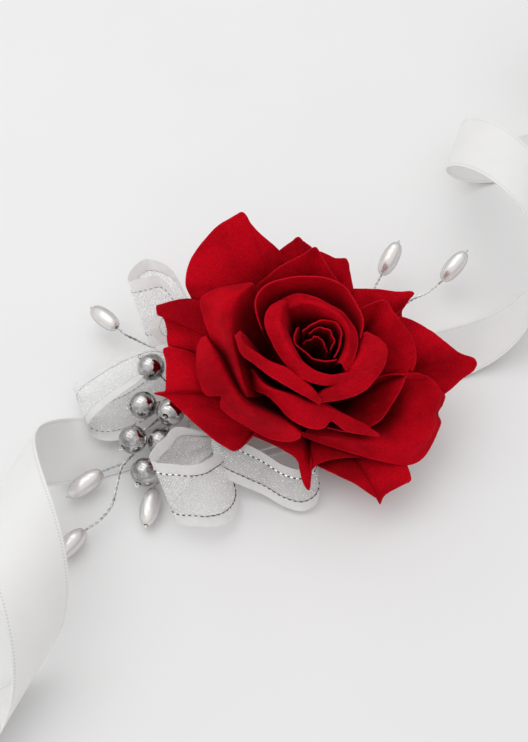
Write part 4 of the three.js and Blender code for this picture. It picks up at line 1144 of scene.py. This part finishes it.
def loop_grid(loop, seed):
    """Middle surface of a sheer loop, pleated where it is gathered."""
    centre = curve_through(loop["path"], LOOP_ROWS)
    first, last = np.array(loop["across"], float)
    t = np.linspace(0, 1, len(centre))
    across = first + t[:, None] * (last - first)
    spread = smoothstep(np.minimum(t, 1 - t), 0.02, loop["gather"])
    opening = GATHERED_SHARE + (1 - GATHERED_SHARE) * spread
    s = np.linspace(-0.5, 0.5, LOOP_COLUMNS)
    grid = centre[:, None] + (opening[:, None] * s[None, :])[..., None] * across[:, None]
    rng = np.random.default_rng(seed)
    fold = np.sin(2 * np.pi * PLEATS * s[None, :] + rng.uniform(0, 6))
    pleat = fold * (1 - spread)[:, None] * PLEAT_DEPTH
    ripple = sum(
        np.sin(2 * np.pi * (k * t[:, None] * rng.uniform(0.8, 1.2) + rng.uniform(-1, 1) * s[None, :])
               + rng.uniform(0, 6)) / k
        for k in RIPPLES
    )
    return grid + grid_normals(grid) * (pleat + RIPPLE_DEPTH * spread[:, None] * ripple)[..., None]


# Operators


class CorsageOperator:
    """Common parts of the corsage operators"""

    bl_options = {"REGISTER", "UNDO"}

    @staticmethod
    def settings(context):
        """Sizes and colours of the scene."""
        return context.scene.corsage_sizes, context.scene.corsage_colours


class CORSAGE_OT_stage(CorsageOperator, Operator):
    """Table, soft studio light and the camera"""

    bl_idname = "corsage.stage"
    bl_label = "Stage"

    def execute(self, context):
        _, colours = self.settings(context)
        self.table(colours)
        right, away, back, target = self.view_frame()
        self.window(self.overhead(WINDOW_LEAN, right, away), target)
        self.room(context, self.overhead(ROOM_LEAN, right, away))
        self.camera(context, back, target)
        context.scene.view_settings.view_transform = "Standard"
        return {"FINISHED"}

    @staticmethod
    def camera(context, back, target):
        """Camera of the photo's view."""
        camera = bpy.data.cameras.new("view")
        camera.lens = VIEW_LENS
        camera.sensor_fit = "AUTO"
        camera.clip_start = VIEW_NEAR * MM
        eye = placed("view", camera)
        eye.location = target + back * VIEW_DISTANCE * MM
        eye.rotation_euler = (-back).to_track_quat("-Z", "Y").to_euler()
        context.scene.camera = eye

    @staticmethod
    def overhead(lean, right, away):
        """Upward direction that leans to the right and away."""
        return (Vector((0, 0, 1)) + right * lean[0] + away * lean[1]).normalized()

    @staticmethod
    def view_frame():
        """Right, away and back directions of the view, and the point that it looks at."""
        a, e = math.radians(VIEW_AZIMUTH), math.radians(VIEW_ELEVATION)
        right = Vector((math.cos(a), math.sin(a), 0))
        away = Vector((-math.sin(a), math.cos(a), 0))
        back = Vector((math.sin(a) * math.cos(e), -math.cos(a) * math.cos(e), math.sin(e)))
        target = (right * VIEW_SHIFT_RIGHT + away * VIEW_SHIFT_AWAY + Vector((0, VIEW_SHIFT_Y, 0))) * MM
        return right, away, back, target

    @staticmethod
    def table(colours):
        """Plain pale table top with a faint tone."""
        turns = ((-1, -1), (1, -1), (1, 1), (-1, 1))
        corners = [(x * TABLE_HALF, y * TABLE_HALF, TABLE_LEVEL) for x, y in turns]
        material, tree, bsdf = new_material("table_top")
        dress(tree, bsdf, {
            "Base Color": mottled(tree, colours.table, share=0.97, scale=9.0, amount=0.6),
            "Roughness": 0.9,
            "Specular IOR Level": 0.1,
        })
        make_object("table", corners, [(0, 1, 2, 3)], material)

    @staticmethod
    def window(towards, target):
        """A soft window of three panes overhead on the left."""
        aim_down = (-towards).to_track_quat("-Z", "Y")
        aside = aim_down @ Vector((1, 0, 0))
        for k in PANES:
            pane = bpy.data.lights.new("window_pane", "AREA")
            pane.shape = "RECTANGLE"
            pane.size, pane.size_y = PANE_SIZE
            pane.energy = LAMP_POWER / len(PANES)
            lamp = placed("window_pane", pane)
            lamp.location = target + towards * LAMP_DISTANCE + aside * k * PANE_STEP
            lamp.rotation_euler = aim_down.to_euler()

    @staticmethod
    def room(context, brightest):
        """A room that darkens away from its brightest side."""
        world = bpy.data.worlds.new("room")
        world.use_nodes = True
        tree = world.node_tree
        side = node(tree, "VectorMath", operation="DOT_PRODUCT")
        put(tree, side.inputs[0], node(tree, "TexCoord").outputs["Generated"])
        put(tree, side.inputs[1], brightest)
        level = band(tree, side.outputs["Value"], -0.05, 0.95, *ROOM_LEVELS)
        dress(tree, tree.nodes["Background"], {"Color": WHITE, "Strength": level})
        context.scene.world = world


class CORSAGE_OT_petals(CorsageOperator, Operator):
    """Cloth petals of the rose"""

    bl_idname = "corsage.petals"
    bl_label = "Petals"

    def execute(self, context):
        sizes, colours = self.settings(context)
        cloth = petal_material(colours)
        for seed, (name, petal) in enumerate(PETALS.items()):
            across = max(4, PETAL_COLUMNS // len(petal["rows"][0]))
            grid = crinkled(in_rose(petal_grid(petal, across, PETAL_ROWS)), seed, PETAL_CREASE)
            along, wide = arc_lengths(grid, 0), arc_lengths(grid, 1)
            # Painted shade towards the base: the rise runs from shaded at the base to lit at the rim, and
            # outer petals take only part of it
            base_shade_share = OUTER_SHADE if "outer" in name else 1.0
            floats = {
                "rise": 1 - base_shade_share * (1 - along / along[-1:]),
                "rim": rim_distance(grid),
                "along": along,
                "across": wide,
            }
            obj = sheet_object(f"{name}_cloth", grid, sizes.petal_thick / MM, cloth, floats)
            settle(obj, "corsage", "petal", name)
        self.collar(cloth)
        return {"FINISHED"}

    @staticmethod
    def collar(cloth):
        """Cloth collar that joins the petals at their feet."""
        azimuth = full_turn(48)
        t = np.linspace(0, 1, 8)[:, None]
        inner, outer = COLLAR_RADII
        reach = inner + (outer - inner) * t
        height = COLLAR_TOP - COLLAR_DROP * t**0.7
        rings = two_sided(azimuth, reach, height, COLLAR_HALF)
        # Rise at zero paints the whole collar in the petals' deep painted shade
        zero = {key: np.zeros(rings.shape[:2]) for key in ("rise", "along", "across")}
        zero["rim"] = np.full(rings.shape[:2], 5.0)
        obj = make_object("petal_collar_cloth", *loft(in_rose(rings), loop=True), cloth, zero)
        settle(obj, "corsage", "petal")


class CORSAGE_OT_rose_base(CorsageOperator, Operator):
    """Receptacle and calyx under the petals"""

    bl_idname = "corsage.rose_base"
    bl_label = "Rose base"

    def execute(self, context):
        _, colours = self.settings(context)
        leaf = plain_material("leaf_green", colours.leaf, **LEAF_FINISH)
        rings = turned(curve_through(RECEPTACLE, 4), 40)
        core = make_object("receptacle_moulding", *loft(in_rose(rings)), leaf)
        settle(core, "corsage", "leaf", "receptacle")
        azimuth = full_turn(120)
        t = np.linspace(0, 1, 14)[:, None]
        wave = np.cos(np.radians(SEPALS * azimuth))
        lobe = (0.5 + 0.5 * wave) ** 1.5
        reach = CALYX_RADIUS + t * (CALYX_NOTCH + SEPAL_REACH * lobe)
        height = CALYX_LEVEL + SEPAL_RISE * t**2 + SEPAL_RIDGE * wave**8 * t
        rings = two_sided(azimuth, reach, height, CALYX_HALF)
        calyx = make_object("calyx_sepals", *loft(in_rose(rings), loop=True), leaf)
        settle(calyx, "corsage", "leaf", "calyx")
        return {"FINISHED"}


class CORSAGE_OT_organza(CorsageOperator, Operator):
    """Sheer loops with satin edges and a silver thread"""

    bl_idname = "corsage.organza"
    bl_label = "Organza loops"

    def execute(self, context):
        sizes, colours = self.settings(context)
        cloth = [organza_material(colours), organza_edge_material(colours)]
        silver = thread_material()
        last = LOOP_COLUMNS - 1
        for seed, (name, loop) in enumerate(LOOPS.items()):
            grid = loop_grid(loop, LOOP_SEED + seed)
            width = float(np.linalg.norm(loop["across"][0]))
            edge = max(2, round(sizes.organza_edge / MM / width * last))
            column = np.arange(LOOP_COLUMNS)
            banded = (column < edge) | (column > last - edge)
            thick = np.where(banded, EDGE_THICKER, 1.0) * sizes.organza_thick / MM
            floats = {"along": arc_lengths(grid, 0), "across": arc_lengths(grid, 1)}
            obj = sheet_object(f"{name}_sheer", grid, thick, cloth, floats, edge_columns=edge)
            settle(obj, "corsage", "organza", name)
            raised = grid + grid_normals(grid) * THREAD_RAISE
            radius = sizes.thread_radius / MM * (1 if "front" in name else FAR_THREAD)
            for j, label in ((edge, "a"), (last - edge, "b")):
                line = evenly(raised[:, j], THREAD_STEP)
                points, faces = tube(line, radius, THREAD_SIDES)
                run = {"along": np.repeat(np.arange(len(line)) * THREAD_STEP, THREAD_SIDES)}
                thread = make_object(f"{name}_thread_{label}", points, faces, silver, run)
                settle(thread, "corsage", "organza")
        return {"FINISHED"}


class CORSAGE_OT_ribbon(CorsageOperator, Operator):
    """Satin band between the felts and its two curled tails"""

    bl_idname = "corsage.ribbon"
    bl_label = "Satin ribbon"

    def execute(self, context):
        sizes, colours = self.settings(context)
        satin = satin_material(colours)
        half = sizes.ribbon_width / MM / 2
        x = np.linspace(-BAND_HALF, BAND_HALF, BAND_GRID[0])
        y = np.linspace(-half, half, BAND_GRID[1])
        places = np.broadcast_arrays(x[:, None], RIBBON_Y + y[None, :], BAND_LEVEL)
        band_grid = np.stack(places, axis=-1)[:, ::-1]
        floats = {"along": band_grid[..., 0], "across": band_grid[..., 1]}
        strip = sheet_object("ribbon_band_satin", band_grid, sizes.ribbon_thick / MM, satin, floats)
        settle(strip, "corsage", "satin", "ribbon_band")
        for label, curl in (("left", LEFT_CURL), ("right", RIGHT_CURL)):
            grid, along, across = tail_grid(curl, sizes)
            floats = {"along": along, "across": across}
            tail = sheet_object(f"ribbon_tail_{label}_satin", grid, sizes.ribbon_thick / MM, satin, floats)
            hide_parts(f"ribbon_tail_{label}")
            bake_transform(tail)
        return {"FINISHED"}


class CORSAGE_OT_silver_beads(CorsageOperator, Operator):
    """Silver beads on their branching wire"""

    bl_idname = "corsage.silver_beads"
    bl_label = "Silver beads"

    def execute(self, context):
        sizes, colours = self.settings(context)
        plated = metal_material("bead_silver", colours.silver, rough=0.07, smudge=0.08)
        wire = metal_material("wire_silver", colours.wire, rough=0.2, smudge=0.15)
        radius = sizes.bead_radius / MM
        fork = np.array(BEAD_TRUNK[-1], float)
        profile = bored_profile(radius, radius * BEAD_SQUASH, BEAD_BORE, power=1)
        shell, faces = loft(turned(profile, BEAD_SEGMENTS), loop=True)
        parts = twisted(curve_through(BEAD_TRUNK, CURVE_STEPS), sizes)
        for name, centre in BEADS.items():
            way = direction(fork, centre)
            bead = make_object(f"{name}_shell", aim(shell, centre, way), faces, plated)
            settle(bead, "corsage", "silver_bead", name)
            if name != STRUNG_BEAD:
                end = np.array(centre) + way * (radius + BEAD_CLEAR)
                parts += twisted(np.array([fork, (fork + end) / 2, end]), sizes)
                parts.append(wire_eye(end + way * BEAD_EYE, way))
        obj = make_object("bead_wire_twist", *joined(parts), wire)
        settle(obj, "corsage", "wire", "bead_wire")
        return {"FINISHED"}


class CORSAGE_OT_pearl_drops(CorsageOperator, Operator):
    """Pearl drops on twisted stems"""

    bl_idname = "corsage.pearl_drops"
    bl_label = "Pearl drops"

    def execute(self, context):
        sizes, colours = self.settings(context)
        coat = pearl_material(colours)
        wire = bpy.data.materials["wire_silver"]
        for name, stem in STEMS.items():
            parts = twisted(curve_through(stem["path"], CURVE_STEPS), sizes)
            parts += self.through(stem["path"][-1], stem["towards"], sizes)
            self.stem(name, parts, wire)
            self.pearl(name, stem["path"][-1], stem["towards"], sizes, coat)
        parts = twisted(curve_through(FORK_TRUNK, CURVE_STEPS), sizes)
        for name, branch in FORK_BRANCHES.items():
            path = [FORK_TRUNK[-1], *branch["path"]]
            parts += twisted(curve_through(path, CURVE_STEPS), sizes)
            parts += self.through(path[-1], branch["towards"], sizes)
            self.pearl(name, path[-1], branch["towards"], sizes, coat)
        self.stem("left", parts, wire)
        return {"FINISHED"}

    @staticmethod
    def through(near, towards, sizes):
        """Thin wire through a pearl, and the eye at its tip."""
        way = direction(near, towards)
        near = np.array(near)
        tip = near + way * sizes.pearl_length / MM
        before, beyond = PEARL_WIRE_ENDS
        core = np.array([near - way * before, near + way, tip - way, tip + way * beyond])
        eye = wire_eye(tip + way * PEARL_EYE, way, radius=0.26, wire=0.2)
        return [tube(core, PEARL_WIRE, WIRE_SIDES), eye]

    @staticmethod
    def stem(name, parts, wire):
        """Joins a stem's strands into one piece on its body."""
        obj = make_object(f"pearl_stem_{name}_twist", *joined(parts), wire)
        settle(obj, f"stem_{name}", "wire", f"pearl_stem_{name}")

    @staticmethod
    def pearl(name, near, towards, sizes, coat):
        """One pearl drop on its own body."""
        way = direction(near, towards)
        long = sizes.pearl_length / MM
        half = long / 2 - PEARL_INSET
        profile = bored_profile(sizes.pearl_radius / MM, half, PEARL_BORE, PEARL_POWER)
        points, faces = loft(turned(profile, PEARL_SEGMENTS), loop=True)
        points = aim(points, np.array(near) + way * long / 2, way)
        drop = make_object(f"pearl_{name}_drop", points, faces, coat)
        settle(drop, f"drop_{name}", "pearl", f"pearl_{name}")


class CORSAGE_OT_backing(CorsageOperator, Operator):
    """Two felt pads"""

    bl_idname = "corsage.backing"
    bl_label = "Felt backing"

    def execute(self, context):
        _, colours = self.settings(context)
        wool = plain_material("felt_white", colours.felt, **FELT_FINISH)
        for name, carrier in (("felt_under", "wrist"), ("felt_over", "ribbon_band")):
            low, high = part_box(name)
            half = (high.x / MM, high.y / MM)
            bottom, top = low.z / MM, high.z / MM
            levels = [(s, bottom + rise) for s, rise in FELT_EDGE]
            levels += [(s, top - rise) for s, rise in reversed(FELT_EDGE)]
            outline = self.outline(half)
            rings = np.array([np.column_stack([outline * s, np.full(len(outline), z)]) for s, z in levels])
            wave = np.sin(outline[:, 0] * FELT_WAVE[0]) * np.cos(outline[:, 1] * FELT_WAVE[1])
            rings[FELT_EDGE_RINGS, :, :2] *= 1 + FELT_UNEVEN * wave[None, :, None]
            pad = make_object(f"{name}_pad", *loft(rings), wool)
            settle(pad, "corsage", "felt", name)
        return {"FINISHED"}

    @staticmethod
    def outline(half):
        """Rounded oblong, counter-clockwise."""
        points = []
        corners = ((1, -1, -90), (1, 1, 0), (-1, 1, 90), (-1, -1, 180))
        for sx, sy, start in corners:
            a = np.radians(np.linspace(start, start + 90, 16))
            x = sx * (half[0] - FELT_CORNER) + FELT_CORNER * np.cos(a)
            y = sy * (half[1] - FELT_CORNER) + FELT_CORNER * np.sin(a)
            points.append(np.column_stack([x, y]))
        return np.vstack(points)


class CORSAGE_OT_bundle(CorsageOperator, Operator):
    """Taped stems, organza knot and glue under the rose"""

    bl_idname = "corsage.bundle"
    bl_label = "Taped bundle"

    def execute(self, context):
        _, colours = self.settings(context)
        tape = plain_material("floral_tape", colours.tape, **TAPE_FINISH)
        glue = plain_material("set_glue", colours.glue, **GLUE_FINISH)
        self.wrap(tape)
        self.knot(bpy.data.materials["organza_sheer"])
        self.pad(glue)
        return {"FINISHED"}

    @staticmethod
    def along_x(rings):
        """Rings about +Z laid along the bundle."""
        return np.stack([rings[..., 2], WRAP_Y + rings[..., 0], WRAP_Z + rings[..., 1]], axis=-1)

    def wrap(self, tape):
        """Tape wound round the stems in overlapping turns."""
        z = np.linspace(WRAP_X[0], WRAP_X[1], 150)[:, None]
        angle = full_turn(40)
        turn = (z / TAPE_PITCH + angle / 360) % 1
        ends = np.minimum(smoothstep(z, WRAP_X[0] - 0.4, WRAP_X[0] + 0.8),
                          1 - smoothstep(z, WRAP_X[1] - 0.8, WRAP_X[1] + 0.4))
        radius = (WRAP_R - TAPE_INSET + TAPE_STEP * turn) * (WRAP_END + (1 - WRAP_END) * ends)
        obj = make_object("stem_wrap_tape", *loft(self.along_x(polar(angle, radius, z))), tape)
        settle(obj, "corsage", "tape", "stem_wrap")

    def knot(self, cloth):
        """Sheer cloth drawn tight round the stems."""
        section = full_turn(28)[0]
        middle = (KNOT_R + WRAP_R) / 2 + 0.1
        z = (KNOT_X[0] + KNOT_X[1]) / 2 + (KNOT_X[1] - KNOT_X[0]) / 2 * np.sin(np.radians(section))
        radius = middle + KNOT_HALF * np.cos(np.radians(section))
        angle = full_turn(72)
        outward = np.clip(np.cos(np.radians(section)), 0, 1)[:, None]
        crease = KNOT_CREASE * np.sin(np.radians(KNOT_CREASES * angle)) * outward
        rings = polar(angle, radius[:, None] + crease, z[:, None])[::-1]
        floats = {
            "along": np.repeat(section / 20, angle.size),
            "across": np.tile(angle.ravel() / 18, section.size),
        }
        obj = make_object("organza_knot_sheer", *loft(self.along_x(rings), loop=True), cloth, floats)
        settle(obj, "corsage", "organza", "organza_knot")

    def pad(self, glue):
        """Set glue between the felt and the rose."""
        low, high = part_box("glue_pad")
        centre = (low + high) / 2 / MM
        reach = (high.x - low.x) / MM / 2
        shape = curve_through(GLUE_PROFILE, 3)
        angle = full_turn(64)
        lump = 1 + 0.05 * np.sin(np.radians(3 * angle + 40)) - 0.04 * np.cos(np.radians(7 * angle))
        rings = polar(angle, shape[:, :1] * reach * 0.95 * lump, low.z / MM + shape[:, 1:])
        rings[..., 0] += centre.x
        rings[..., 1] += centre.y
        settle(make_object("glue_pad_set", *loft(rings), glue), "corsage", "glue", "glue_pad")


class CORSAGE_PT_panel(Panel):
    """Lists the corsage's operators and settings"""

    bl_idname = "CORSAGE_PT_panel"
    bl_label = "Wrist corsage"
    bl_space_type = "VIEW_3D"
    bl_region_type = "UI"
    bl_category = "Corsage"

    def draw(self, context):
        layout = self.layout
        for operator in OPERATORS:
            layout.operator(operator.bl_idname)
        for group in (context.scene.corsage_sizes, context.scene.corsage_colours):
            box = layout.box()
            for key in group.__annotations__:
                box.prop(group, key)


OPERATORS = (
    CORSAGE_OT_stage,
    CORSAGE_OT_petals,
    CORSAGE_OT_rose_base,
    CORSAGE_OT_organza,
    CORSAGE_OT_ribbon,
    CORSAGE_OT_silver_beads,
    CORSAGE_OT_pearl_drops,
    CORSAGE_OT_backing,
    CORSAGE_OT_bundle,
)
CLASSES = (CorsageSizes, CorsageColours, *OPERATORS, CORSAGE_PT_panel)


def register():
    """Registers the classes and the scene's settings."""
    for cls in CLASSES:
        bpy.utils.register_class(cls)
    bpy.types.Scene.corsage_sizes = PointerProperty(type=CorsageSizes)
    bpy.types.Scene.corsage_colours = PointerProperty(type=CorsageColours)


def unregister():
    """Removes the classes and the scene's settings."""
    del bpy.types.Scene.corsage_colours
    del bpy.types.Scene.corsage_sizes
    for cls in reversed(CLASSES):
        bpy.utils.unregister_class(cls)


def main():
    """Builds every piece in order."""
    register()
    bpy.ops.corsage.stage()
    bpy.ops.corsage.petals()
    bpy.ops.corsage.rose_base()
    bpy.ops.corsage.organza()
    bpy.ops.corsage.ribbon()
    bpy.ops.corsage.silver_beads()
    bpy.ops.corsage.pearl_drops()
    bpy.ops.corsage.backing()
    bpy.ops.corsage.bundle()


if __name__ == "__main__":
    main()
